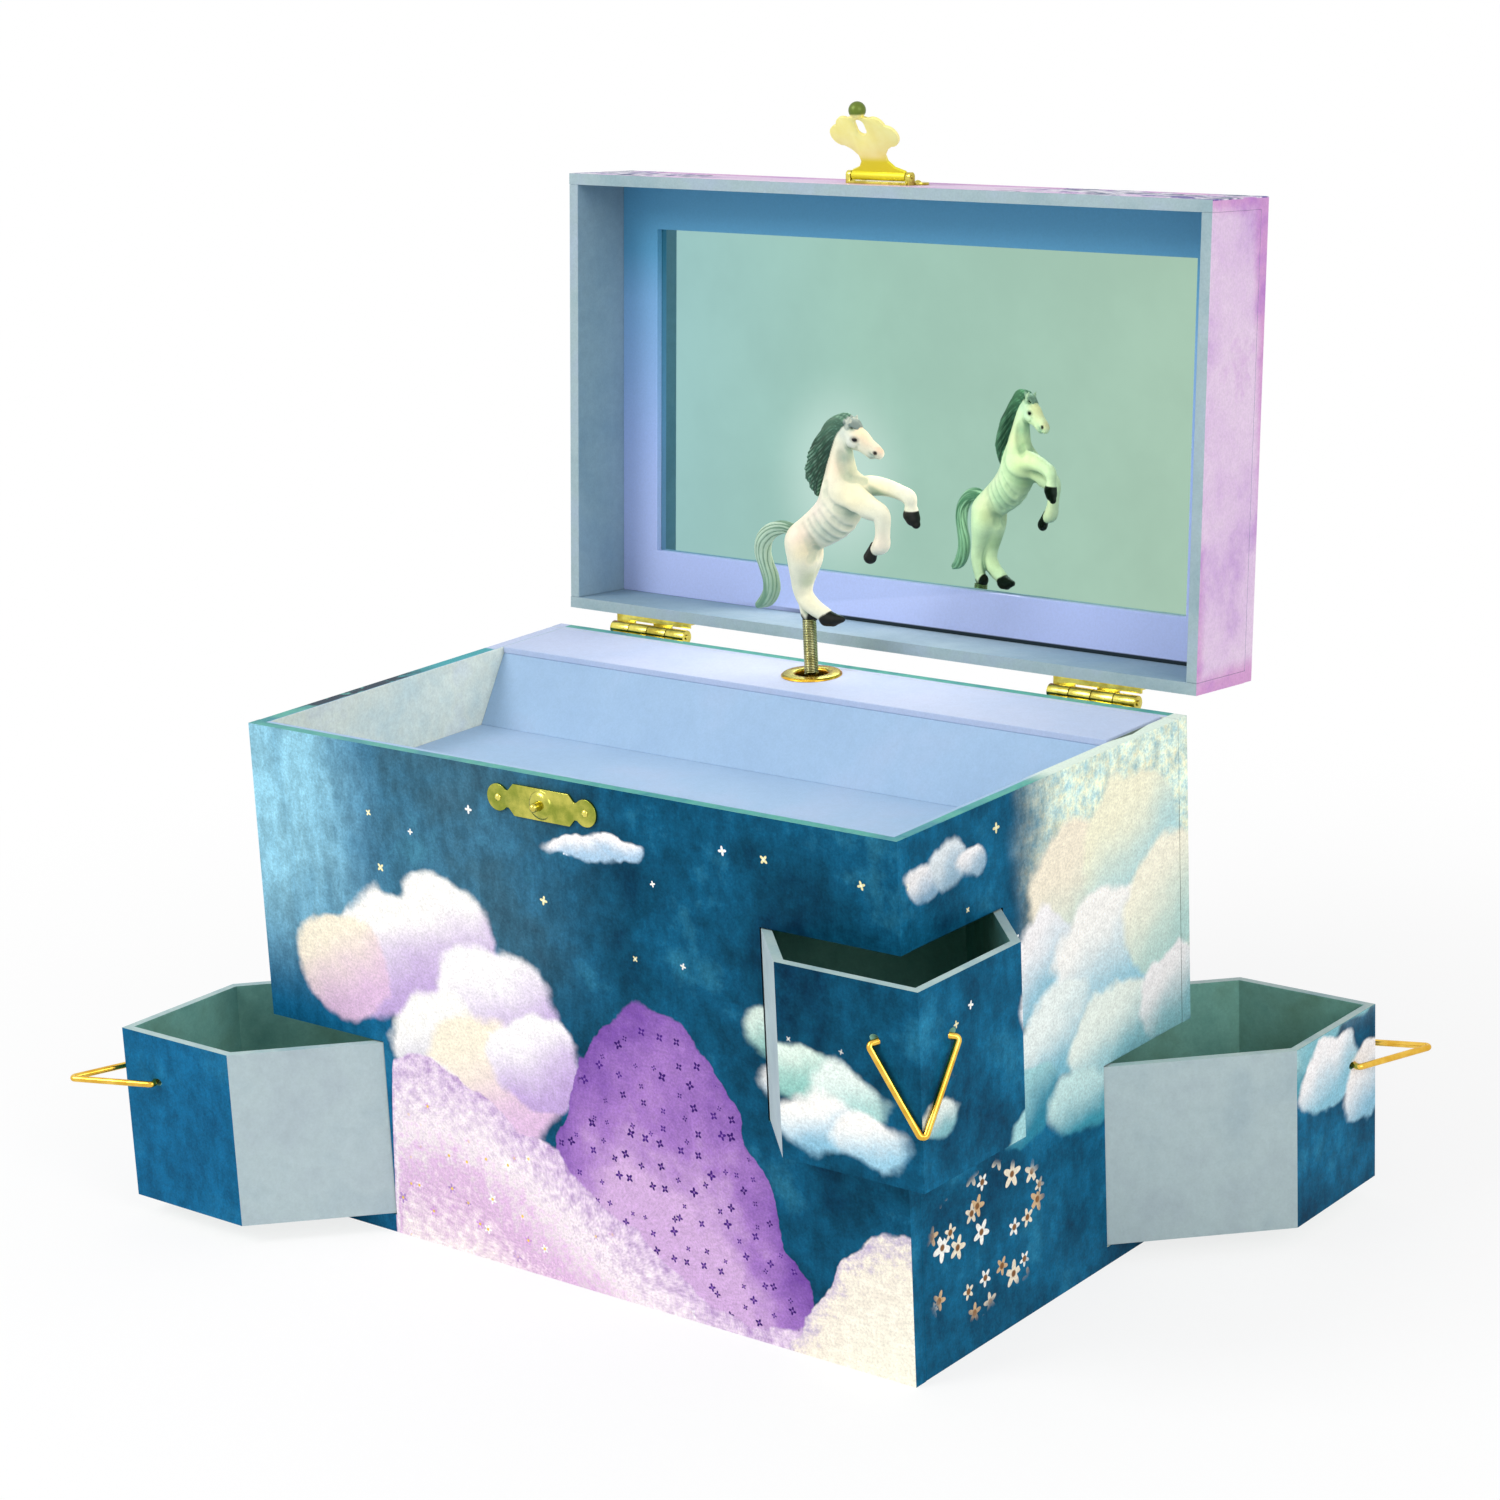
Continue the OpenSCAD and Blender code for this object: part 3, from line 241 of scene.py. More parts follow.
def cloud_puff(p, at, cx, cy, rx, ry, light, dark):
    """Lays one round of cloud, lit from the upper left; small ones have softer edges."""
    local = p.about(at, (cx, cy, 0), (1 / rx, 1 / ry, 0))
    inside = p.smooth(p.vmath("LENGTH", local), 1, 0.84 if ry > 10 else 0.7)
    slope = p.vmath("DOT_PRODUCT", local, (-0.35, 0.75, 0))
    p.lay(inside, p.mix(p.smooth(slope, -0.55, 0.5), dark, light))


def hill(p, u, v, crest, waves, rate, wash, much, tints):
    """Lays ground below a wavy crest and gives the depth below it.

    waves are (height, length, shift) in mm; the colour goes by rate times the depth plus much times the wash."""
    for height, length, shift in waves:
        crest = p.madd(p.math("SINE", p.madd(u, 1 / length, shift)), height, crest)
    below = p.minus(crest, v)
    p.lay(p.smooth(below, 0, 1.2), p.ramp(p.madd(below, rate, p.times(wash, much)), tints))
    return below


def blossoms(p, at, cell, size, petals, tints, heart, where, seed):
    """Scatters small flowers of a few colours, one to a cell, where the mask says."""
    tex = p.node("ShaderNodeTexVoronoi", voronoi_dimensions="2D", feature="F1")
    moved = p.vmath("ADD", at, (seed, seed * 0.7, 0))
    p.fill(tex, Vector=moved, Scale=1 / cell, Randomness=0.85)
    turn, swell, pick = p.xyz(tex.outputs["Color"])
    local = p.vmath("SUBTRACT", moved, tex.outputs["Position"])
    away = p.vmath("LENGTH", local)
    x, y, _ = p.xyz(local)
    angle = p.madd(p.math("ARCTAN2", y, x), petals, p.times(turn, 6))
    ring = p.madd(p.math("COSINE", angle), 0.28, 0.72)
    reach = p.times(ring, p.madd(swell, 0.5 * size, 0.6 * size))
    petal = p.smooth(p.minus(reach, away), 0, 0.25)
    p.lay(p.times(petal, where), p.ramp(pick, tints, "CONSTANT"))
    p.lay(p.times(p.smooth(away, 0.3 * size, 0.18 * size), where), heart)


def sky_print(name, near):
    """The watercolour print that runs round the box: night sky and clouds over soft slopes.

    near is the sheet on the front and left, with a lavender hill; the other goes on the right and back."""
    p = Paint(name, shine=0.04)
    flat = p.node("ShaderNodeUVMap", uv_map="print").outputs[0]
    wobble = p.vmath("SUBTRACT", p.noise(flat, 0.055, 4, 0.5, out="Color"), (0.5, 0.5, 0.5))
    at = p.vmath("MULTIPLY_ADD", wobble, (15, 15, 0), flat)
    u, v, _ = p.xyz(at)
    pu, pv, _ = p.xyz(flat)
    wash = p.noise(flat, 0.03, 6, 0.65)
    grain = p.noise(flat, 1.3, 3, 0.7)
    fleck = p.noise(flat, 0.32, 4, 0.7)
    night = "#04304a #084763 #0d5577 #2b7693" if near else "#053753 #0b5374 #11648a #2b7fa2"
    p.colour(p.ramp(wash, stops(night, (0.32, 0.46, 0.56, 0.7))))
    if near:
        p.lay(p.times(p.window((pu, -60, -78), (pu, -290, -200)), 0.6), "#156c9c")
        p.lay(p.window((u, 30, -35, 0, 0.2), (pv, 66, 104)), "#7fb3c6")
        streak = p.noise(flat, 0.05, 4, 0.6, (2.2, 0.5, 1))
        light = p.window((u, -62, -104), (pu, -215, -150), (pv, 62, 118))
        p.lay(p.times(light, p.smooth(streak, 0.2, 0.6, 0.55, 1)), "#93cbe0")
    else:
        light = p.window((u, 166, 196), (pu, 300, 262), (pv, 52, 92))
        p.lay(light, p.ramp(fleck, stops("#b5dde2 #e0f2e2 #f8f6d2", (0.33, 0.5, 0.67))))
    p.shade(p.smooth(p.noise(flat, 0.11, 4, 0.75, (1.6, 0.8, 1)), 0.32, 0.68, 0.8, 1.22))
    stars = p.window((pv, 92, 108), (light, 0.5, 0.1))
    blossoms(p, flat, 24, 1.5, 4, stops("#f6eeb4 #ffffff", (0, 0.5)), "#fffbe0", stars, 31)
    for cloud in NEAR_CLOUDS if near else FAR_CLOUDS:
        cloud_puff(p, at, *cloud)
    rolling = [(7, 37, 2), (3, 13, 0.2)]
    blush = (0.010, fleck, 0.6,
             stops("#b58fcb #e3cfe6 #f8eef1 #dcb7dc #f0dfe8 #fdf6ee", (0.2, 0.36, 0.5, 0.66, 0.82, 0.95)))
    if near:
        sink = p.smooth(pu, -79, -68, -160, 0)
        bulge = p.smooth(p.size(p.minus(u, 34)), 74, 2)
        below = hill(p, u, v, p.madd(bulge, 90, sink), [(5, 19, 0.4), (3, 9, 1)], 0.008, wash, 0.9,
                     stops("#6a3f9c #8d63b4 #a87dc6 #d3b0dc", (0.34, 0.5, 0.66, 0.86)))
        blossoms(p, flat, 6.4, 1.5, 4, stops("#3a1a6b #4b2580", (0, 0.6)), "#8d63b4", p.smooth(below, 2.5, 6), 7)
        below = hill(p, u, v, p.math("ADD", sink, p.smooth(u, -46, 34, 52, 12)), rolling, *blush)
        blossoms(p, flat, 9, 2, 5, stops("#f7e3f6 #d7a3e0 #ffffff #b58fcb", (0, 0.3, 0.55, 0.8)), "#f4d35e",
                 p.window((below, 4, 9), (wash, 0.48, 0.54)), 17)
        hill(p, u, v, p.smooth(u, 52, 118, -12, 44), [(3, 21, 1.9), (2, 8, 2.2)], 0.012, fleck, 0.6,
             stops("#cfc0dc #f7eede #fdf8e6", (0.25, 0.42, 0.7)))
    else:
        hill(p, u, v, p.madd(p.window((u, 272, 335), (u, 495, 410)), 80, -40), rolling, *blush)
        spray = p.vmath("LENGTH", p.about(at, (152, 30, 0), (1 / 30, 1 / 22, 0)))
        blossoms(p, flat, 9.5, 4, 5, stops("#f6ead2 #fffdf5 #d9b78e #e9dcc6", (0, 0.35, 0.6, 0.8)), "#8a5f3c",
                 p.smooth(spray, 1, 0.82), 43)
    # pigment grain and pooled edges
    p.shade(p.smooth(grain, 0.25, 0.75, 0.8, 1.14))
    p.shade(p.smooth(fleck, 0.3, 0.7, 0.9, 1.06))
    p.bump(grain, 0.12, 0.05)
    p.rough(p.smooth(fleck, 0.2, 0.8, 0.44, 0.56))
    return p.mat


# ---- papers and metals ----
CALM = (0.32, 0.5, 0.68)
TEAL = "#2f8291 #57a99c #3a7f98"


def paper(name, tints, rough, scale, grain, fleck=0, bump=0.1, places=(0.3, 0.5, 0.7)):
    """Plain printed paper: a soft cloudy wash of a few colours with a fine grain."""
    p = Paint(name, shine=0.2)
    at = p.place()
    wash = p.noise(at, scale, 4, 0.6)
    p.colour(p.ramp(wash, stops(tints, places)))
    p.tooth(at, 1 - grain, 1 + grain * 0.5, bump)
    if fleck:
        p.shade(p.smooth(p.noise(at, 0.35, 4, 0.7), 0.3, 0.7, 1 - fleck, 1 + fleck * 0.5))
    p.rough(p.smooth(wash, 0.3, 0.7, rough - 0.05, rough + 0.05))
    return p.mat


def brass(name, light, deep, rough, scale=0.4, metal=1, span=None):
    """Polished metal; span is the foot and top in mm of a flap with a golden foot and a tip tarnished olive."""
    p = Paint(name, metal=metal)
    at = p.place()
    hair = p.noise(at, 3, 2, 0.6, (1, 1, 0.15))
    p.colour(p.mix(p.smooth(p.noise(at, scale, 4, 0.6), 0.3, 0.72), light, deep))
    if span:
        foot, top = span
        z = p.xyz(at)[2]
        p.lay(p.smooth(z, foot + 8, foot + 5.5), "#e6dc2c")
        p.lay(p.smooth(z, top - 4.2, top - 3.4), "#62761f")
    p.rough(p.madd(hair, 0.14, rough - 0.07))
    p.bump(hair, 0.05, 0.02)
    return p.mat


PRINT = sky_print("printed_sky_front", True)
PRINT_FAR = sky_print("printed_sky_side", False)
EDGE = paper("edge_paper", TEAL, 0.5, 0.05, 0.1, 0.12)
SLOT_EDGE = paper("slot_edge_paper", "#05293b #0b3f58 #125571", 0.5, 0.05, 0.1, 0.12)
TRAY = paper("tray_paper", "#98b5d4 #9fbcda #a9bedb", 0.6, 0.018, 0.05, 0.03, places=CALM)
STEP = paper("step_paper", "#b1c2e1 #bac7e3 #b7c3e0", 0.6, 0.018, 0.05, 0.03, places=CALM)
WALL_IN = paper("inner_wall_paper", "#c9dad7 #dce4d9 #ccd7dd", 0.6, 0.04, 0.1, 0.08)
DARK_IN = paper("drawer_lining", "#6fa69c #84bbae #76a391", 0.7, 0.05, 0.08, 0.06)
BAY = paper("bay_board", "#1c2324 #272f2f #1f2626", 0.8, 0.05, 0.08)
DRAWER_SIDE = paper("drawer_side_paper", "#a6b9bf #b1c3c6 #a9b9bf", 0.55, 0.05, 0.05, 0.04)
DRAWER_EDGE = paper("drawer_edge_paper", "#9fbfc2 #b5cbc8 #93b3b8", 0.5, 0.05, 0.06)
LID_RIM = paper("lid_rim_paper", "#90a9b0 #9fb4b9 #a0b2c2", 0.5, 0.05, 0.07, 0.04)
# grey-blue lining inside the lid, its colours darkened as painted shade of the lid's recess
LID_IN_SHADED = paper("lid_inner_paper_shaded", "#7b97aa #88a2b2 #7f9bb0", 0.55, 0.03, 0.06, 0.05)
FELT = paper("base_felt", "#3c4a4c #46565a #3f4d50", 0.9, 0.06, 0.12, 0.05, 0.4)


def node_box(node):
    """Lowest and highest corner of a CAD node, in millimetres."""
    points = [v.co / MM for v in NODES[node].data.vertices]
    return [[pick(q[k] for q in points) for k in range(3)] for pick in (min, max)]


def frame_paper():
    """Lilac card round the mirror, deepening to blue at its top as painted shadow of the lid's top wall, with a dark
    seam along its foot.
    """
    low, high = node_box("mirror_frame")
    p = Paint("mirror_frame_paper", shine=0.2)
    at = p.place()
    x, _, z = p.xyz(at)
    rise = p.smooth(p.madd(p.noise(at, 0.02, 4), 14, z), low[2] + 7, high[2] + 7)
    # the blue towards the top is painted shadow, cast by the lid's top wall
    p.colour(p.ramp(rise, stops("#b3c1ee #a2bbec #7fb0dc #5c9fc6", (0, 0.35, 0.8, 0.93))))
    p.lay(p.window((z, low[2] + 1.7, low[2] + 1.2), (x, -70, -20)), "#14242c")
    return p.tooth(at, 0.95, 1.03)


def lid_side_paper():
    """Lilac wash on the lid's sides, pooled darker and pinker at the edges, with night blue along the front."""
    low, high = node_box("lid_right")
    crown = max(v.co.z + LEAN * v.co.y for v in NODES["lid_front"].data.vertices) / MM
    p = Paint("lid_side_paper", 0.48, shine=0.2)
    at = p.place()
    x, y, z = p.xyz(at)
    wash = p.noise(at, 0.035, 5, 0.65)
    p.colour(p.ramp(wash, stops("#c29bd4 #dcc0e2 #e4cde6 #c998d4", (0.28, 0.45, 0.6, 0.78))))
    under = p.minus(crown, p.madd(y, LEAN, z))
    inboard = p.smooth(p.size(x), BODY_L / 2 - 0.6, BODY_L / 2 - 1.2, 0, 50)
    rim = p.minus(y, low[1])
    for edge in (p.minus(high[1], y), p.minus(z, low[2]), p.math("ADD", under, inboard)):
        rim = p.math("MINIMUM", rim, edge)
    pool = p.smooth(p.madd(wash, 9, rim), 10.5, 4.5)
    p.lay(p.times(pool, 0.7), p.ramp(wash, stops("#b56cc4 #cf86c6", (0.4, 0.55))))
    night = p.window((under, 0.4, 0.2), (p.noise(at, 0.06, 4, 0.7), 0.46, 0.5),
                     (p.size(p.math("ADD", x, 12)), 45, 70))
    p.lay(night, p.ramp(p.noise(at, 0.11), stops("#1a3f6e #f0ecf6 #4b3f94", (0.4, 0.52, 0.6))))
    return p.tooth(at, 0.9, 1.06, scale=1.4)


def rim_paper():
    """The top of the walls: the tray's lining folds over its inner half and the print over its outer half."""
    p = Paint("wall_rim_paper", shine=0.2)
    at = p.place()
    x, y, _ = p.xyz(at)
    wash = p.noise(at, 0.05, 4, 0.6)
    inward = p.math("MINIMUM", p.minus(BODY_L / 2, p.size(x)), p.minus(BODY_W / 2, p.size(y)))
    side = BODY_L / 2 - WALL
    left = p.smooth(x, -side, -side - 0.5)
    right = p.smooth(x, side, side + 0.5)
    p.colour(p.ramp(wash, stops(TEAL)))
    p.lay(p.times(left, p.smooth(y, -30, 0)), "#2f99a3")
    pooled = p.window((y, -52, -44), (y, 12, -10), (p.noise(at, 0.09, 3, 0.7), 0.4, 0.52))
    p.lay(p.times(left, pooled), "#06283c")
    step = node_box("step_face")[0][1]
    fold = p.smooth(p.madd(wash, 0.8, inward), 3.2, 3.7)
    p.lay(p.times(fold, p.minus(1, left)), p.mix(p.smooth(y, step, step + 1), "#a1bedd", "#b9c6e3"))
    pale = p.times(right, p.smooth(y, -10, 4))
    p.lay(pale, "#dcebdf")
    p.lay(p.times(left, p.smooth(y, step + 8, step + 9.5)), "#b9c6e3")
    # the sheets meet in a small gap, widest 45 mm behind the middle, and its shadow is painted dark on the rim
    gap = p.minus(1, p.size(p.madd(y, 1 / 13, -45 / 13)))
    gap = p.minus(p.madd(gap, 2, inward), WALL)
    p.lay(p.times(pale, p.smooth(gap, 0, 0.3)), "#060403")
    return p.tooth(at, 0.9, 1.05, bump=0)


def mirror_material():
    """Green-tinted silvering, with painted reflection: bluer on the left, and a soft pale glow painted behind the
    figure.
    """
    p = Paint("silvered_glass", metal=1)
    at = p.place()
    # the green tint is the silvering's; its shift from blue on the left to green on the right is painted reflection
    p.colour(p.ramp(p.madd(p.xyz(at)[0], 1 / 200, 0.5), stops("#9cc7c6 #a2c9ba #a8c8b3", (0, 0.4, 1))))
    p.shade(p.smooth(p.noise(at, 0.02, 4, 0.6), 0.3, 0.7, 0.95, 1.03))
    # a pale glow painted on the glass round the figure, standing in for light
    painted_glow = p.about(at, (-27, 0, 199), (1 / 30, 0, 1 / 38))
    p.lay(p.smooth(p.vmath("LENGTH", painted_glow), 1, 0.25, 0, 0.5), "#d6efe6")
    p.rough(p.smooth(p.noise(at, 0.05), 0.3, 0.7, 0.008, 0.02))
    return p.mat


RIM = rim_paper()
LID_OUT = lid_side_paper()
FRAME = frame_paper()
BRASS = brass("polished_brass", "#e8dc6e", "#b09f3a", 0.2, 0.2)
BAIL_BRASS = brass("bail_brass", "#f2c85a", "#d9a533", 0.18, 0.2)
PLATE_BRASS = brass("plate_brass", "#d3cc62", "#8f9a3c", 0.24, 0.15)
GILT = brass("bright_gilt", "#ffd04e", "#e0a526", 0.26, 0.3)
SPRING = brass("spring_wire", "#b9b98c", "#8b8a55", 0.24)
STEEL = brass("brushed_steel", "#c9ccd0", "#9a9ea4", 0.32)
MIRROR = mirror_material()


# ---------- geometry helpers ----------
def new_object(name, mesh, mats, smooth_deg=None):
    """An object from a bmesh, shaded smooth where its faces meet under smooth_deg."""
    me = bpy.data.meshes.new(name)
    mesh.normal_update()
    mesh.to_mesh(me)
    mesh.free()
    for m in mats:
        me.materials.append(m)
    if smooth_deg is not None:
        me.polygons.foreach_set("use_smooth", [True] * len(me.polygons))
        me.set_sharp_from_angle(angle=math.radians(smooth_deg))
    return in_scene(name, me)


def in_scene(name, data):
    ob = bpy.data.objects.new(name, data)
    bpy.context.scene.collection.objects.link(ob)
    return ob


def stand_for(ob, node, body):
    """Puts an object in the place of a CAD node."""
    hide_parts(node)
    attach(ob, body)


def softened(node, width_mm, from_deg=30):
    """A CAD node's mesh, with every edge sharper than from_deg bevelled."""
    bm = bmesh.new()
    bm.from_mesh(NODES[node].data)
    bmesh.ops.remove_doubles(bm, verts=bm.verts[:], dist=2e-6)
    bmesh.ops.dissolve_limit(bm, angle_limit=math.radians(0.6), verts=bm.verts[:], edges=bm.edges[:])
    edges = [e for e in bm.edges if len(e.link_faces) == 2 and e.calc_face_angle(0) > math.radians(from_deg)]
    bmesh.ops.bevel(bm, geom=edges, offset=width_mm * MM, segments=2, profile=0.6, affect="EDGES",
                    clamp_overlap=True)
    return bm


def shut(y, z):
    """y and z of the open lid, from the hinge pin, turned to where they are when it is shut."""
    a = math.radians(LID_OPEN)
    return y * math.cos(a) - z * math.sin(a), y * math.sin(a) + z * math.cos(a)


def shut_point(p):
    y, z = shut(p.y - PIN_Y, p.z - PIN_Z)
    return Vector((p.x, y + PIN_Y, z + PIN_Z))


def shut_normal(n):
    return Vector((n.x, *shut(n.y, n.z)))


def around(p, n):
    """Place on the wrapped print: distance round the box from the middle of the front, and height."""
    half, deep = BODY_L / 2, BODY_W / 2
    if abs(n.z) > max(abs(n.x), abs(n.y)):
        return p.x, p.y + 122
    if abs(n.y) >= abs(n.x):
        return (p.x, p.z) if n.y < 0 else (half + BODY_W + (half - p.x), p.z)
    return (half + p.y + deep if n.x > 0 else -half - (p.y + deep)), p.z


def board(node, body, mats, bevel, kind=None, move=None, turn=None, split=None):
    """A softened copy of a CAD board with printed faces.

    kind(point, normal) picks the material's number; move and turn bring a face to its place when all is shut."""
    bm = softened(node, bevel)
    if split:
        bmesh.ops.bisect_plane(bm, geom=bm.verts[:] + bm.edges[:] + bm.faces[:], plane_co=(0, 0, split * MM),
                               plane_no=(0, 0, 1))
    bm.normal_update()
    layer = bm.loops.layers.uv.new("print")
    for f in bm.faces:
        n = turn(f.normal) if turn else f.normal
        c, *corners = [move(q * 1000) if move else q * 1000
                       for q in (f.calc_center_median(), *[loop.vert.co for loop in f.loops])]
        f.material_index = kind(c, n) if kind else 0
        for loop, q in zip(f.loops, corners):
            loop[layer].uv = around(q, n)
    stand_for(new_object(node + "_papered", bm, mats), node, body)


def sweep(name, points, radius, sides, mat):
    """A round rod in millimetres along points."""
    pts = [Vector(p) for p in points]
    tangents = [(b - a).normalized() for a, b in zip(pts[:1] + pts[:-1], pts[1:] + pts[-1:])]
    side = tangents[0].orthogonal().normalized()
    turns = [2 * math.pi * k / sides for k in range(sides)]
    bm = bmesh.new()
    rings = []
    for i, (p, t) in enumerate(zip(pts, tangents)):
        if i:
            side = (tangents[i - 1].rotation_difference(t) @ side).normalized()
        side = (side - t * side.dot(t)).normalized()
        up = t.cross(side)
        rings.append([bm.verts.new((p + (side * math.cos(a) + up * math.sin(a)) * radius) * MM) for a in turns])
    for a, b in zip(rings, rings[1:]):
        for k in range(sides):
            bm.faces.new((a[k], a[(k + 1) % sides], b[(k + 1) % sides], b[k]))
    bm.faces.new(rings[0][::-1])
    bm.faces.new(rings[-1])
    bmesh.ops.recalc_face_normals(bm, faces=bm.faces[:])
    return new_object(name, bm, [mat], 50)


def rounded(points, radii, steps=8):
    """A polyline with its inner corners rounded to the given radii."""
    out = [points[0]]
    for a, b, c, r in zip(points, points[1:], points[2:], radii):
        u, w = (a - b).normalized(), (c - b).normalized()
        half = u.angle(w) / 2
        reach = min(r / math.tan(half), 0.49 * (a - b).length, 0.49 * (c - b).length)
        centre = b + (u + w).normalized() * (reach * math.tan(half) / math.sin(half))
        s, e = b + u * reach - centre, b + w * reach - centre
        out += [centre + s.slerp(e, k / steps) for k in range(steps + 1)]
    return out + [points[-1]]


# ---------- boards ----------
LINING_FOOT = 127.0  # the tray's lining; the walls are papered inside above it


def near_side(n):
    """True for the front and left, which carry the first printed sheet."""
    return max(n.x, n.y) < 0.5


def wall_kind(axis, sign):
    """Outer faces and corners printed, inner face papered round the tray and bare below it, slot edges dark."""
    def kind(c, n):
        ends = abs(c.x) > BODY_L / 2 - 0.6 and n.x * c.x > 0.5 * abs(c.x)
        faces = abs(c.y) > BODY_W / 2 - 0.6 and n.y * c.y > 0.5 * abs(c.y)
        if (ends or faces) and n.z < 0.5:
            return 0 if near_side(n) else 5
        if n[axis] * sign < -0.6:
            return 1 if c.z > LINING_FOOT - 1 else 3
        return 2 if n.z > 0.3 else 4
    return kind


for n, axis, sign in (("front", 1, -1), ("back", 1, 1), ("left", 0, -1), ("right", 0, 1)):
    board(n + "_panel", "box", [PRINT, WALL_IN, RIM, BAY, SLOT_EDGE, PRINT_FAR], 0.35,
          wall_kind(axis, sign), split=LINING_FOOT)
for n in ("base_board", "divider_board", "tray_deck"):
    board(n, "box", [BAY, FELT], 0.3, lambda c, n: int(n.z < -0.6 and c.z < 1))
for n in ("tray_lining", "step_face", "step_top"):
    board(n, "box", [STEP if n == "step_top" else TRAY], 0.3)
for n in CORNERS:
    board("guide_" + n, "box", [BAY], 0.2)

# ---------- drawers ----------
DRAWER_H, FRONT_DEEP, HALF_WIDE, DRAWER_LONG = 53.6, 33.5, 31.2, 103.5


def directions(corner):
    """The box's corner on the ground, the way out of it and the way across."""
    sx, sy = CORNERS[corner][:2]
    root = math.sqrt(2)
    return Vector((sx * BODY_L / 2, sy * BODY_W / 2, 0)), Vector((sx, sy, 0)) / root, Vector((-sy, sx, 0)) / root


def drawer_kind(corner):
    """Nose printed, inside lined, outer sides papered, top edges teal at the nose and pale behind it."""
    sx, sy, _, foot, _ = CORNERS[corner]
    tip, outward, across = directions(corner)

    def kind(c, n):
        depth = -(c - tip).dot(outward)
        if abs(n.z) > 0.6:
            if 1 < c.z - foot < DRAWER_H - 1:
                return 2
            return 3 if depth < FRONT_DEEP else 4
        if n.x * sx > 0.9 or n.y * sy > 0.9:
            return 0 if near_side(n) else 5
        side = abs((c - tip).dot(across)) > HALF_WIDE and abs(n.dot(across)) > 0.6
        return 1 if side or depth > DRAWER_LONG else 2
    return kind


for corner, (sx, sy, out, *_) in CORNERS.items():
    shift = Vector((sx * out, sy * out, 0)) / math.sqrt(2)
    body = "drawer_" + corner
    board(body, body, [PRINT, DRAWER_SIDE, DARK_IN, EDGE, DRAWER_EDGE, PRINT_FAR], 0.3,
          drawer_kind(corner), lambda p: p - shift)
    board("drawer_bottom_" + corner, body, [DARK_IN], 0.2)

# ---------- bails ----------
WIRE_R, BAIL_WIDE, BAIL_LONG, BEND, NOSE = 0.95, 29, 28, 1.6, 14 / math.sqrt(2)
for corner, (*_, out, foot, droop) in CORNERS.items():
    tip, outward, across = directions(corner)
    pivot = Vector((tip.x, tip.y, foot + 0.4 + DRAWER_H - 14.6)) + outward * (out - NOSE)
    a = math.radians(droop)
    reach = outward * math.cos(a) - Vector((0, 0, 1)) * math.sin(a)
    shoulder, far = BAIL_WIDE / 2 - WIRE_R, BAIL_LONG - WIRE_R
    inside = NOSE - 2.6 * math.sqrt(2) - 1
    flat = [(0, -inside), (0, -shoulder), (far, -BEND), (far, BEND), (0, shoulder), (0, inside)]
    line = rounded([pivot + reach * p + across * q for p, q in flat], [2.2, 3.2, 3.2, 2.2])
    bail = sweep("bail_wire_" + corner, line, WIRE_R, 16, BAIL_BRASS)
    stand_for(bail, "bail_" + corner, "bail_" + corner)

# ---------- lid ----------
LID_FOOT, LID_TOP = 152, 180


def lid_kind(c, n):
    """Rim, printed top, outer sides and inside, with the lid shut."""
    if n.z < -0.6 and c.z < LID_FOOT:
        return 1
    outside = max(abs(c.x) / (BODY_L / 2), abs(c.y) / (BODY_W / 2)) > 0.9985
    if outside or (n.z > 0.6 and c.z > LID_TOP):
        return 3 if n.z > 0.6 else 0
    return 2


for n in ("top", "front", "back", "left", "right"):
    board("lid_" + n, "lid", [LID_OUT, LID_RIM, LID_IN_SHADED, PRINT], 0.3, lid_kind, shut_point, shut_normal)
board("mirror_frame", "lid", [FRAME], 0.25, None, shut_point, shut_normal)
board("mirror", "lid", [MIRROR], 0.2, None, shut_point, shut_normal)


# ---------- brass fittings ----------
def fitting(node, body, mat=BRASS, bevel=0.12):
    stand_for(new_object(node + "_polished", softened(node, bevel, 35), [mat], 40), node, body)


for n in "hinge_body_leaf_left hinge_body_leaf_right hinge_pins hinge_body_nails catch_stud catch_nails".split():
    fitting(n, "box")
fitting("catch_plate", "box", PLATE_BRASS)
for n in "hinge_lid_leaf_left hinge_lid_leaf_right hinge_lid_nails latch_base latch_pin latch_nails".split():
    fitting(n, "lid")
flap_span = [corner[2] for corner in node_box("latch_flap")]
fitting("latch_flap", "latch", brass("latch_brass", "#fff6a6", "#f9ec8a", 0.42, 0.12, 0.35, flap_span), bevel=0.2)
fitting("rosette", "box", GILT)

# ---------- spring ----------
COIL_FOOT, COIL_TOP, COIL_R, COIL_WIRE = 151.0, 168.0, 2.15, 0.26
turns = int((COIL_TOP - COIL_FOOT) / (2 * COIL_WIRE))
steps = turns * 28
line = []
for i in range(steps + 1):
    a = 2 * math.pi * i * turns / steps
    line.append((SPINDLE[0] + (COIL_R - COIL_WIRE) * math.cos(a), SPINDLE[1] + (COIL_R - COIL_WIRE) * math.sin(a),
                 COIL_FOOT + COIL_WIRE + (COIL_TOP - COIL_FOOT - 2 * COIL_WIRE) * i / steps))
coil = sweep("close_wound_spring", line, COIL_WIRE * 1.02, 8, SPRING)
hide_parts("spring_post")
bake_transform(coil)

# ---------- horse ----------
# chains of round cones (x, y, z, radius) in mm, from the spindle's axis and the foot of the figure
MID = -1.2


def middle(*rounds):
    """A chain in the figure's middle plane, given without y."""
    return [(x, MID, z, r) for x, z, r in rounds]


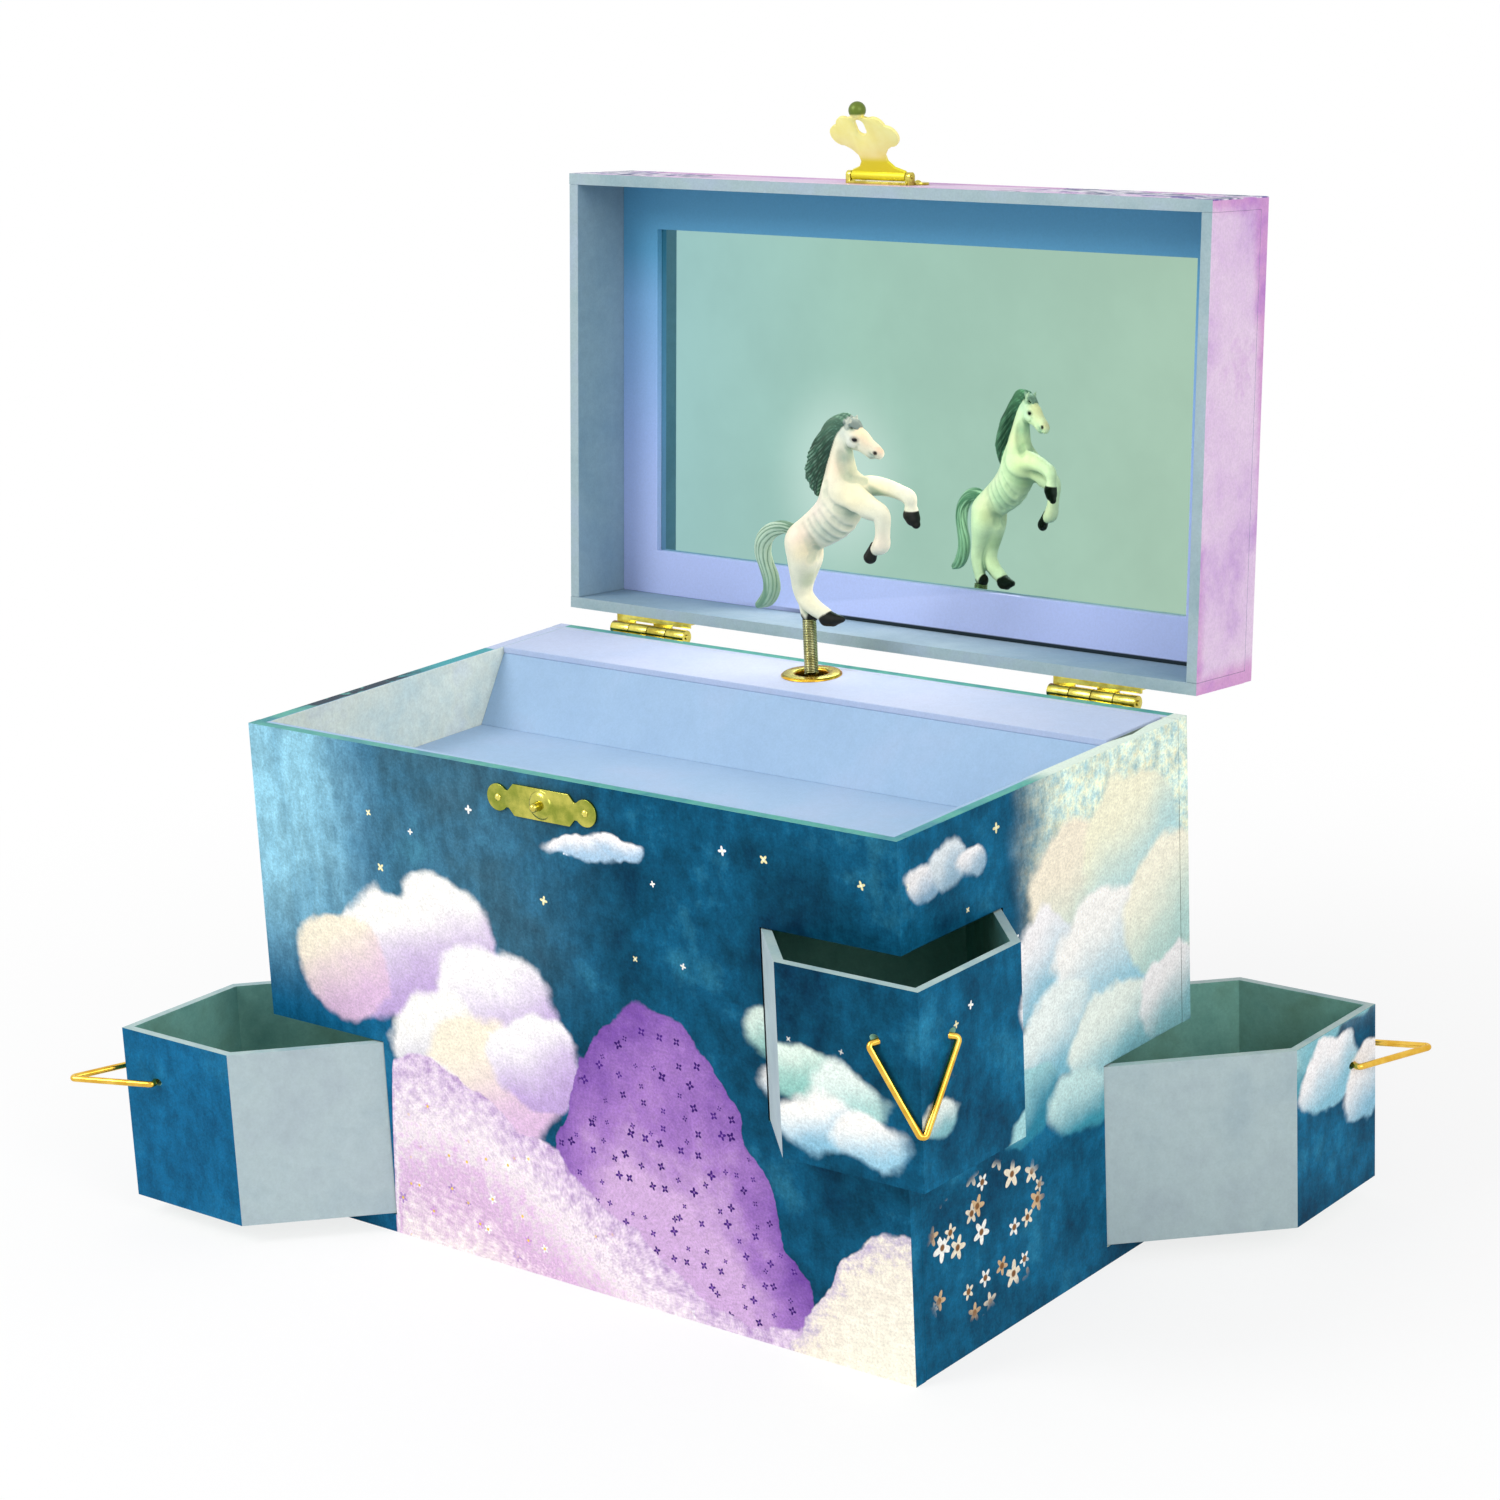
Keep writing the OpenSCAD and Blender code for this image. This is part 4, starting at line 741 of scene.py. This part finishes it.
HEAD = middle((19.8, 57.7, 2.2), (22.5, 57.3, 2.6), (25.5, 55.5, 2), (28.2, 54, 1.75), (29.2, 53.1, 1.75))
CHEEK = middle((20.6, 56, 2.75), (23.4, 54.8, 2), (26.8, 52.5, 1.4))
NECK = middle(
    (18, 59, 2), (16.7, 56.4, 2.5), (16, 52.6, 3.1), (15.7, 49, 3.9), (15.6, 45.6, 4.9), (15.9, 42.2, 6),
    (16.2, 39.6, 6.7))
TRUNK = middle(
    (16.2, 39.6, 6.7), (14.6, 36, 6.9), (12.2, 32.6, 6.8), (8.6, 29.8, 6.2), (5, 27.4, 5.7), (1.2, 24.4, 5.6),
    (0.2, 22.6, 5.4))
TAIL = middle(
    (-4, 26.8, 1.5), (-7.4, 26.9, 1.7), (-11.6, 25.5, 2.1), (-14.9, 22.1, 2.5), (-15.4, 18.2, 2.5),
    (-14.4, 14.6, 2.3), (-12.9, 11, 2.6), (-13, 7.2, 2.7), (-15.2, 3.8, 2.3), (-18.6, 1.7, 1))
CREST = middle((17.4, 61.9, 1.2), (15, 58.4, 1.5), (13.2, 53.6, 1.6), (11.6, 49, 1.5), (9.8, 44.6, 1.2))
NEAR_FORE = [
    (19.6, -3.4, 40.6, 4.2), (24, -4.3, 38.6, 4), (28, -4.8, 37.3, 3.4), (31.6, -5, 36.3, 2.85),
    (32.6, -5, 34.6, 2.55), (32.6, -5, 31.6, 2.25), (32.4, -5, 29, 2.3), (31.9, -5, 26.9, 2.6),
    (30.3, -5, 25.5, 1.9)]
NEAR_FORE_HOOF = [(29.2, -5, 26.3, 1.25), (28.4, -5, 24.4, 1.65), (27.6, -5, 22.7, 2)]
FAR_FORE = [
    (19, 1.4, 41.4, 3.6), (24.5, 1.9, 42.4, 3), (30, 2, 42.3, 2.5), (34.6, 2, 41.4, 2.25), (37.3, 2, 40.4, 2.3),
    (38, 2, 38.9, 1.9), (38, 2, 37.6, 1.8), (38.1, 2, 36.6, 2.1)]
FAR_FORE_HOOF = [(38.1, 2, 35.2, 2.5), (38.6, 2, 34.2, 2.25), (39.7, 2, 32.6, 1.35)]
NEAR_HIND = [
    (0.9, -2.8, 23.6, 5.2), (1.4, -3.3, 20.2, 5), (1.1, -3.6, 16.6, 4.2), (0.7, -3.5, 13.4, 3.5),
    (0.4, -3.3, 10.4, 3.05), (0.9, -3, 7.6, 2.8), (2.3, -3, 5.8, 2.75), (4.8, -3.1, 4.2, 2.5), (7.4, -3.2, 3.1, 2.3),
    (8.6, -3.2, 2.6, 2.25)]
NEAR_HIND_HOOF = [(9.2, -3.2, 1.7, 2.5), (11.4, -3.2, 1.5, 2.1), (14.9, -3.2, 2, 0.95)]
FAR_HIND = [
    (-0.6, 0.6, 22.6, 5), (-0.3, 1.1, 18.8, 4.6), (-0.9, 1.2, 15, 3.6), (-1.7, 1.2, 11.4, 2.8),
    (-2.2, 1.1, 8.4, 2.5), (-1.8, 0.8, 5.4, 2.3), (-0.8, 0.2, 2.4, 2.2), (-0.2, 0, 1.2, 2.2)]
FAR_HIND_HOOF = [(-0.4, 0, 1, 2.15), (1.4, 0, 0.9, 1.9)]
EAR = [(19.2, -2.5, 60, 0.9), (19.9, -2.9, 61.8, 0.75), (20.5, -3, 63.1, 0.25)]
FAR_EAR = [(x, round(2 * MID - y, 1), z, r) for x, y, z, r in EAR]
FEET = [(NEAR_FORE_HOOF, NEAR_FORE), (FAR_FORE_HOOF, FAR_FORE), (NEAR_HIND_HOOF, NEAR_HIND),
        (FAR_HIND_HOOF, FAR_HIND)]
# each lock of the mane: x and z of four points from the crest to its tip
LOCKS = np.reshape([
    18.6, 62, 16.2, 62.6, 13, 61.4, 9.9, 58.3,  17.9, 61.4, 15.2, 61.8, 11.2, 59.3, 7.6, 55.3,
    17.1, 60.4, 14.2, 60.3, 9.8, 56.9, 5, 52.5,  16.3, 59.2, 13.4, 58.2, 8.3, 53.3, 3.9, 49.5,
    15.5, 57.6, 12.8, 56, 7.2, 50, 3, 46.5,  14.7, 55.8, 12.2, 53.7, 6.6, 47.3, 2.7, 44.1,
    14, 54, 11.5, 51.5, 6.2, 45, 3.5, 42.4,  13.4, 52, 11.1, 49.2, 6.8, 43.7, 4.7, 40.3,
    12.7, 50, 10.7, 47.3, 7.5, 42.8, 6, 39.2,  12, 47.8, 10.1, 45.4, 8, 41.9, 6.6, 38.4,
], (10, 4, 2))


def curve(points, n):
    """n points along a smooth curve through the given ones (any number of columns)."""
    p = np.array(points, float)
    p = np.vstack([2 * p[0] - p[1], p, 2 * p[-1] - p[-2]])
    out = []
    for t in np.linspace(0, len(p) - 3 - 1e-9, n):
        s = t - int(t)
        a, b, c, d = p[int(t) : int(t) + 4]
        out.append(0.5 * (2 * b + (c - a) * s + (2 * a - 5 * b + 4 * c - d) * s**2 + (3 * b - a - 3 * c + d) * s**3))
    return np.array(out)


def mane_locks():
    """Combed locks: rows from the crest to the tips, on both sides and in the middle."""
    out = []
    s = np.linspace(0, 1, 9)
    for k, t in enumerate(np.linspace(0, len(LOCKS) - 1.001, 22)):
        i = int(t)
        line = curve(LOCKS[i] * (1 - (t - i)) + LOCKS[i + 1] * (t - i), len(s))
        for side in (-1, 0, 1):
            wave = 0.18 * np.sin(6 * s + k * 1.9 + side)
            y = MID + side * (1.45 * np.sin(np.pi * (0.34 + 0.52 * s)) + 0.25) + 0.5 * wave
            r = (0.8 - 0.1 * abs(side)) * np.sin(np.pi * (0.3 + 0.5 * s)) + 0.08
            out.append(np.column_stack([line[:, 0] + wave, y, line[:, 1] + 0.3 * side * (1 - s), r]))
    return out


def tail_locks():
    """Locks that wind a little round the tail's own line."""
    mid = curve(TAIL, 26)
    step = np.gradient(mid[:, :3], axis=0)
    step /= np.linalg.norm(step, axis=1)[:, None]
    flat = np.column_stack([step[:, 2], 0 * step[:, 0], -step[:, 0]])
    s = np.linspace(0, 1, len(mid))
    spread = mid[:, 3] - 0.5
    out = []
    for k in range(15):
        twist = 2 * np.pi * k / 15 + 0.55 * np.sin(4.2 * s + k * 0.5)
        wave = 0.2 * np.sin(12 * s + 2.3 * k)
        place = mid[:, :3] + flat * (spread * np.cos(twist) + wave)[:, None]
        place[:, 1] += spread * np.sin(twist) * 0.8
        out.append(np.column_stack([place, 0.68 * (1 - 0.45 * s**3)]))
    return out


def cone_distance(q, a, b):
    """Distance from points q (..., 3) to one round cone."""
    ab = b[:3] - a[:3]
    t = np.clip(((q - a[:3]) @ ab) / max(ab @ ab, 1e-9), 0, 1)
    return np.sqrt(((q - a[:3] - t[..., None] * ab) ** 2).sum(-1)) - (a[3] + t * (b[3] - a[3]))


def melt(a, b, k):
    """Smallest of a and b, with a soft seam k wide."""
    h = np.maximum(k - np.abs(a - b), 0)
    return np.minimum(a, b) - h * h / (4 * k)


class Clay:
    """A distance field on a grid, built up from chains of round cones."""

    def __init__(self, lo, hi, step):
        self.lo, self.step = np.array(lo, float), step
        self.axes = [np.arange(a, b + step, step) for a, b in zip(lo, hi)]
        self.field = np.full([len(a) for a in self.axes], 4.0)

    def block(self, chain, room):
        """The grid's slices round a chain."""
        low = (chain[:, :3] - chain[:, 3:]).min(0) - room - self.lo
        high = (chain[:, :3] + chain[:, 3:]).max(0) + room - self.lo
        return [slice(max(int(a / self.step), 0), max(int(b / self.step) + 2, 1)) for a, b in zip(low, high)]

    def work(self, chain, k, carve=False):
        """Adds the chain with a soft seam k wide, or takes it away."""
        chain = np.array(chain, float)
        room = k + 2 * self.step
        whole = self.block(chain, room)
        field = self.field[tuple(whole)]
        near = np.full(field.shape, 4.0)
        for a, b in zip(chain[:-1], chain[1:]):
            part = self.block(np.array([a, b]), room)
            q = np.stack(np.meshgrid(*[x[s] for x, s in zip(self.axes, part)], indexing="ij"), -1)
            inside = tuple(slice(p.start - w.start, p.start - w.start + n) for p, w, n in zip(part, whole, q.shape))
            near[inside] = np.minimum(near[inside], cone_distance(q, a, b))
        field[:] = -melt(-field, near, k) if carve else melt(field, near, k)

    def groove(self, points, side, r, deep, k):
        """Cuts a soft line into one side, along the (x, z) points."""
        chain = []
        line = curve(points, 4 * len(points))
        for n, (x, z) in enumerate(line):
            i, j = (int(round((c - o) / self.step)) for c, o in ((x, self.lo[0]), (z, self.lo[2])))
            inside = np.flatnonzero(self.field[i, :, j] < 0)
            if len(inside):
                y = self.axes[1][inside[-1] if side > 0 else inside[0]]
                fade = np.sin(np.pi * (n + 0.6) / (len(line) + 0.2)) ** 0.5
                chain.append((x, y + side * (r - deep * fade), z, r))
        self.work(chain, k, carve=True)

    def at(self, pts):
        """The field at any points."""
        g = (pts - self.lo) / self.step
        i = np.clip(np.floor(g).astype(int), 0, np.array(self.field.shape) - 2)
        return sum(np.prod(np.abs(1 - np.array(c) - (g - i)), 1) * self.field[tuple((i + c).T)]
                   for c in np.ndindex(2, 2, 2))

    def skin(self):
        """Vertices and quads of the surface where the field is nothing (surface nets)."""
        neg = self.field < 0
        corner = np.array([c[::-1] for c in np.ndindex(2, 2, 2)])
        count = sum(neg[tuple(slice(k, n - 1 + k) for k, n in zip(c, neg.shape))].astype(np.int8) for c in corner)
        cells = np.argwhere((count > 0) & (count < 8))
        number = np.full(count.shape, -1, np.int64)
        number[tuple(cells.T)] = np.arange(len(cells))
        total, hits = np.zeros((len(cells), 3)), np.zeros(len(cells))
        for i, a in enumerate(corner):
            for b in corner[i + 1 :]:
                if np.abs(a - b).sum() != 1:
                    continue
                fa, fb = (self.field[tuple((cells + c).T)] for c in (a, b))
                cross = (fa < 0) != (fb < 0)
                t = np.where(cross, fa / np.where(cross, fa - fb, 1), 0)
                total += np.where(cross[:, None], a + t[:, None] * (b - a), 0)
                hits += cross
        quads = []
        for axis in range(3):
            along, u, v = np.roll(np.eye(3, dtype=int), -axis, 0)
            s1, s2 = (neg[tuple(slice(*ends) if k == axis else slice(1, -1) for k in range(3))]
                      for ends in ((0, -1), (1, None)))
            for first in (True, False):
                at = np.argwhere((s1 != s2) & (s1 == first)) + (1 - along)
                ids = np.stack([number[tuple(r.T)] for r in (at - u - v, at - v, at, at - u)], 1)
                quads.append(ids if first else ids[:, ::-1])
        return self.lo + (cells + total / hits[:, None]) * self.step, np.vstack(quads)


def largest(verts, quads):
    """The largest connected piece alone, without the pockets inside the hair."""
    label, new = None, np.arange(len(verts))
    while label is None or (new != label).any():
        label = new
        new = label.copy()
        np.minimum.at(new, quads.ravel(), np.repeat(label[quads].min(1), 4))
        new = new[new]
    keep = label == np.bincount(label).argmax()
    number = np.cumsum(keep) - 1
    return verts[keep], number[quads[keep[quads[:, 0]]]]


def sculpt(step):
    """The figure's vertices and quads, with its fields for flesh, hair and both."""
    lo, hi = (-23, -9, -1.2), (44, 7.5, 66.5)
    flesh, hair, skin = (Clay(lo, hi, step) for _ in range(3))
    for chain, k in ((TRUNK, 1), (NECK, 2), (NEAR_HIND, 1.6), (FAR_HIND, 1.2), (NEAR_FORE, 2), (FAR_FORE, 1.8),
                     (CHEEK, 0.8), (HEAD, 1)):
        flesh.work(curve(chain, 4 * len(chain)), k)
    for s in (-1, 1):
        brow = ((21, 2.15, 57.9, 0.6), (22.6, 2.3, 58.15, 0.5), (23.6, 2, 57.7, 0.4))
        flesh.work([(x, MID + s * y, z, r) for x, y, z, r in brow], 0.7)
        for k in range(4):
            x, z = 16.8 - 2.5 * k, 33.6 - 1.7 * k
            rib = [(x - 3.4, z + 3), (x - 1, z + 0.3), (x + 1.4, z - 2.8), (x + 2.6, z - 5.2)]
            flesh.groove(rib, s, 0.6, 0.15, 1.2)
        # breast, neck, thigh, jaw and mouth
        for line, r, deep, k in (
                ([(13, 43.5), (13.8, 40.5), (16.2, 37.6), (20.2, 35.6), (24.4, 34.8)], 0.9, 0.4, 1.6),
                ([(17.4, 52), (18.4, 48.5), (20.2, 45.8), (23, 44.6)], 0.9, 0.3, 1.6),
                ([(3, 29.6), (5.8, 26.6), (6.8, 23), (6.2, 19.6)], 1, 0.3, 1.8),
                ([(20, 53.6), (22, 53.7), (23.6, 55.2)], 0.35, 0.2, 0.5),
                ([(30.2, 52.5), (28.6, 52.5), (26.8, 53.2)], 0.2, 0.26, 0.2)):
            flesh.groove(line, s, r, deep, k)
        flesh.work([(28.9, MID + s * 1.95, 53.6, 0.45), (29.4, MID + s * 1.75, 53.2, 0.4)], 0.2, carve=True)
    for chain, k in ((EAR, 0.4), (FAR_EAR, 0.4), *[(hoof, 0.25) for hoof, _ in FEET]):
        flesh.work(chain, k)
    for y in (-3.65, 1.25):
        flesh.work([(22.3, y, 56.9, 0.62), (22.8, y, 56.8, 0.5)], 0.1)
    for lock in mane_locks() + tail_locks():
        hair.work(lock, 0.14)
    for k in range(7):
        dip = abs(k - 3)
        lock = [(17.6 + 0.3 * k, -3.0 + 0.6 * k, 61.6, 0.75), (19.8 + 0.2 * k, -3.1 + 0.6 * k, 61.9 - 0.2 * dip, 0.6),
                (22.6, -2.4 + 0.4 * k, 60.6 - 0.25 * dip, 0.4)]
        hair.work(curve(lock, 6), 0.14)
    hair.work(CREST, 0.4)
    hair.work([(x, y, z, max(r - 0.7, 0.3)) for x, y, z, r in TAIL], 0.2)
    skin.field = melt(flesh.field, hair.field, 0.25)
    return *largest(*skin.skin()), flesh, hair, skin


def gap(verts, chain):
    """Distance of each vertex from a chain."""
    chain = np.array(chain, float)
    return np.minimum.reduce([cone_distance(verts, a, b) for a, b in zip(chain[:-1], chain[1:])]).clip(None, 9)


def ease(x, lo, hi):
    t = np.clip((x - lo) / (hi - lo), 0, 1)
    return (t * t * (3 - 2 * t))[:, None]


def rgb(code):
    return np.array(srgb(code)[:3])


def over(tint, m, code):
    """The tint with another colour laid on it where the mask m is 1."""
    return tint * (1 - m) + rgb(code) * m


def spots(tint, verts, table):
    """Soft round spots, seen from the side: x, z, reach, colour and strength."""
    for x, z, reach, code, much in table:
        tint = over(tint, np.exp(-(((verts[:, ::2] - (x, z)) / reach) ** 2).sum(1))[:, None] * much, code)
    return tint


def figure_tints(verts, normals, flesh, hair, skin):
    """Colour of each vertex as the figure is painted, with painted shade and highlights, and how glossy it is."""
    # warm tints on the chest, rump, legs and muzzle; those on the shoulder and the nose bridge are partly painted
    # highlights
    tint = spots(np.tile(rgb("#e9e9d0"), (len(verts), 1)), verts, (
        (16.5, 48.5, 4, "#fbe6c8", 0.9), (23, 41, 5, "#fbf0c4", 0.7), (3, 26.5, 4.5, "#fae2cf", 0.8),
        (4.5, 22, 4, "#f7e7b8", 0.6), (28, 43.5, 5, "#f7eec6", 0.7), (3.5, 7, 5, "#faf3cf", 0.7),
        (9, 35, 4.5, "#fbe9dc", 0.6), (32, 28, 3.5, "#fbe9d2", 0.6), (26.5, 58, 3.2, "#f3cfa8", 0.6),
        (24.2, 60, 2.6, "#f6dcae", 0.8), (30.8, 54.6, 1.9, "#e2b898", 0.7), (20.5, 56, 2.6, "#dfe6dc", 0.7)))
    # painted shade: grey-green in creases and hollows, where little open air lies off the surface, and under downward
    # faces; then spots of painted shade under the neck, throat, belly, ribs and legs, and a grey chin
    open_air = skin.at(verts + normals * 1.6) / 1.6
    wide_air = skin.at(verts + normals * 3) / 3.0
    shade = ease(open_air, 0.93, 0.35) * 0.55 + ease(wide_air, 0.9, 0.3) * 0.3 + ease(normals[:, 2], -0.1, -1) * 0.35
    tint = spots(over(tint, np.clip(shade, 0, 1), "#93aa94"), verts, (
        (18.6, 51, 2.6, "#8ba894", 0.75), (20, 47.2, 2.4, "#a9bb98", 0.6), (12, 28, 4.5, "#b3c6b2", 0.5),
        (20.5, 34.5, 2.6, "#9db39c", 0.6), (27.6, 51.6, 1.7, "#8fa79f", 0.9), (5, 14, 2.2, "#a9b58b", 0.5),
        (17.5, 58.5, 2, "#c9d5cb", 0.7), (3.6, 12, 1.8, "#93a97c", 0.4)))
    # mane, forelock and tail, with painted shade between the locks and painted highlights along their ridges
    is_hair = ease(flesh.at(verts) - hair.at(verts), 0.02, 0.25)
    near = np.full((2, len(verts)), 9.0)
    for lock in mane_locks() + tail_locks():
        near = np.sort(np.vstack([near, gap(verts, lock)]), 0)[:2]
    ridge = ease(near[1] - near[0], 0.02, 0.4)
    x, y, z = verts.T
    # light streaks laid along the ridges of the locks are painted highlights
    streak = (0.5 + 0.5 * np.sin(4.1 * x - 5.7 * z + 2.3 * y))[:, None] ** 2 * ridge
    mane = over(over(rgb("#102e20"), ridge, "#2f624a"), 0.7 * streak, "#99c3aa")
    mane = over(mane, 0.35 * ease(z, 52, 64), "#80b193")
    mane = over(mane, 0.45 * ease(gap(verts, CREST), 1.6, 0.4), "#1f463e")
    tail = over(over(rgb("#587f68"), ridge, "#b2cdb6"), 0.5 * ease(z, 18, 8), "#78a287")
    tuft = over(rgb("#8e9f97"), 0.6 * ease(z, 62.3, 61.2), "#5c6f6a")
    strands = np.where(((x < 0) & (z < 30))[:, None], tail, np.where((x > 18.4)[:, None], tuft, mane))
    tint = tint * (1 - is_hair) + strands * is_hair
    # hooves, eyes, nostrils and ears
    gloss = np.full(len(verts), 0.42)
    for hoof, leg in FEET:
        off = gap(verts, hoof)
        m = ease(off - gap(verts, leg), 0.1, -0.1) * ease(off, 0.5, 0.25)
        tint = over(tint, m, "#060a02")
        gloss += (0.5 - gloss) * m[:, 0]
    for y in (-3.95, 1.55):
        away = np.linalg.norm((verts - (22.55, y, 56.85)) * (0.62, 1, 1), axis=1)
        m = ease(away, 0.78, 0.5)
        tint = over(over(tint, m, "#0c0a08"), ease(away, 1.3, 0.8) * (1 - m) * 0.4, "#6b6353")
        gloss += (0.1 - gloss) * m[:, 0]
    for y in (-3, 0.6):
        away = np.linalg.norm((verts - (29.15, y, 53.4)) * (0.8, 1, 1), axis=1)
        tint = over(tint, ease(away, 0.85, 0.45), "#1d1511")
    ears = ease(np.minimum(gap(verts, EAR), gap(verts, FAR_EAR)), 0.35, 0)
    return over(tint, ears * 0.7, "#9fb0a6"), gloss


def horse_paint():
    p = Paint("figure_paint", shine=0.3)
    at = p.place()
    wash = p.noise(at, 0.35, 4, 0.6)
    speck = p.noise(at, 2.6, 3, 0.6)
    p.colour(p.node("ShaderNodeAttribute", attribute_name="tint").outputs["Color"])
    p.shade(p.smooth(wash, 0.3, 0.7, 0.95, 1.04))
    p.shade(p.smooth(speck, 0.25, 0.75, 0.96, 1.02))
    gloss = p.node("ShaderNodeAttribute", attribute_name="gloss").outputs["Fac"]
    p.rough(p.math("ADD", gloss, p.smooth(wash, 0.3, 0.7, -0.04, 0.06)))
    p.bump(speck, 0.1, 0.05)
    return p.mat


def figure():
    """The horse, made facing along the front and then turned 16 degrees round; its outline in this view is kept."""
    verts, quads, flesh, hair, skin = sculpt(0.3)
    normals = np.column_stack([skin.at(verts + d) - skin.at(verts - d) for d in np.eye(3) * 0.15])
    normals /= np.maximum(np.linalg.norm(normals, axis=1)[:, None], 1e-6)
    tint, gloss = figure_tints(verts, normals, flesh, hair, skin)
    me = bpy.data.meshes.new("rearing_horse")
    turned = verts @ np.array(((0.814512, 0.233557, -0.083171), (-0.026069, 1.032824, -0.011689), (0, 0, 1)))
    me.from_pydata(((turned + (*SPINDLE, FIGURE_Z)) * MM).tolist(), [], quads.tolist())
    colour = me.attributes.new("tint", "FLOAT_COLOR", "POINT")
    colour.data.foreach_set("color", np.column_stack([tint, np.ones(len(tint))]).astype(np.float32).ravel())
    me.attributes.new("gloss", "FLOAT", "POINT").data.foreach_set("value", gloss.astype(np.float32))
    me.polygons.foreach_set("use_smooth", [True] * len(me.polygons))
    me.materials.append(horse_paint())
    stand_for(in_scene("rearing_horse", me), "horse", "figure")


figure()

# ---------- plain CAD nodes that show their own shape ----------
for m, names in ((STEEL, "movement_frame movement_screws note_comb winding_arbor"),
                 (BRASS, "comb_screws pinned_cylinder spring_barrel winding_key governor_fan")):
    for n in names.split():
        NODES[n].data.materials.clear()
        NODES[n].data.materials.append(m)

# ---------- stage ----------
def backdrop():
    """Pale floor: it takes the soft shadow near the box and runs out to plain white."""
    bm = bmesh.new()
    bmesh.ops.create_grid(bm, x_segments=2, y_segments=2, size=60)
    p = Paint("floor_paper", 0.9, shine=0)
    at = p.place()
    p.colour(p.mix(p.noise(at, 0.002, 2), "#f4f4f4", "#f8f8f8"))
    far = p.smooth(p.vmath("LENGTH", at), 200, 560, 0.8, 1)
    glow = p.fill(p.node("ShaderNodeEmission"), "#ffffff", 1)
    blend = p.fill(p.node("ShaderNodeMixShader"), p.times(p.seen(), far), p.bsdf.outputs[0], glow)
    p.put(p.tree.nodes["Material Output"].inputs["Surface"], blend)
    new_object("floor", bm, [p.mat])


backdrop()
world = bpy.data.worlds.new("studio")
bpy.context.scene.world = world
world.use_nodes = True
sky = Tree(world.node_tree)
level = sky.fill(sky.node("ShaderNodeMapRange"), sky.seen(), 0, 1, 0.62, 1)
sky.fill(sky.tree.nodes["Background"], "#ffffff", level)


def lamp(name, place, aim, size, watts, colour=(1, 1, 1)):
    data = bpy.data.lights.new(name, "AREA")
    data.shape = "DISK"
    data.size, data.energy, data.color = size, watts, colour
    ob = in_scene(name, data)
    ob.location = place
    ob.rotation_euler = (Vector(aim) - Vector(place)).to_track_quat("-Z", "Y").to_euler()
    return ob


lamp("key_light", (-0.75, -1.25, 1.35), (0, 0, 0.12), 0.9, 17)
lamp("fill_light", (1.5, -0.5, 0.9), (0, 0, 0.1), 1, 9)
# the light that the mirror would throw back on the figure
returned = lamp("mirror_light", (-0.01, 0.082, 0.215), (-0.005, 0, 0.19), 0.14, 0.13, (1, 0.82, 0.74))
returned.visible_camera = False
returned.visible_glossy = False

# the camera, fitted to the photo
cam = bpy.data.cameras.new("camera")
cam.lens, cam.sensor_width, cam.clip_start = 83.27, 36, 0.05
view = in_scene("camera", cam)
view.matrix_world = Matrix((
    (0.78226197, -0.13229753, 0.60873933, 0.61701823),
    (0.62125964, 0.23761048, -0.74671127, -0.73856228),
    (-0.04585479, 0.96230901, 0.26806476, 0.40845566),
    (0, 0, 0, 1),
))
bpy.context.scene.camera = view
bpy.context.scene.view_settings.view_transform = "Standard"
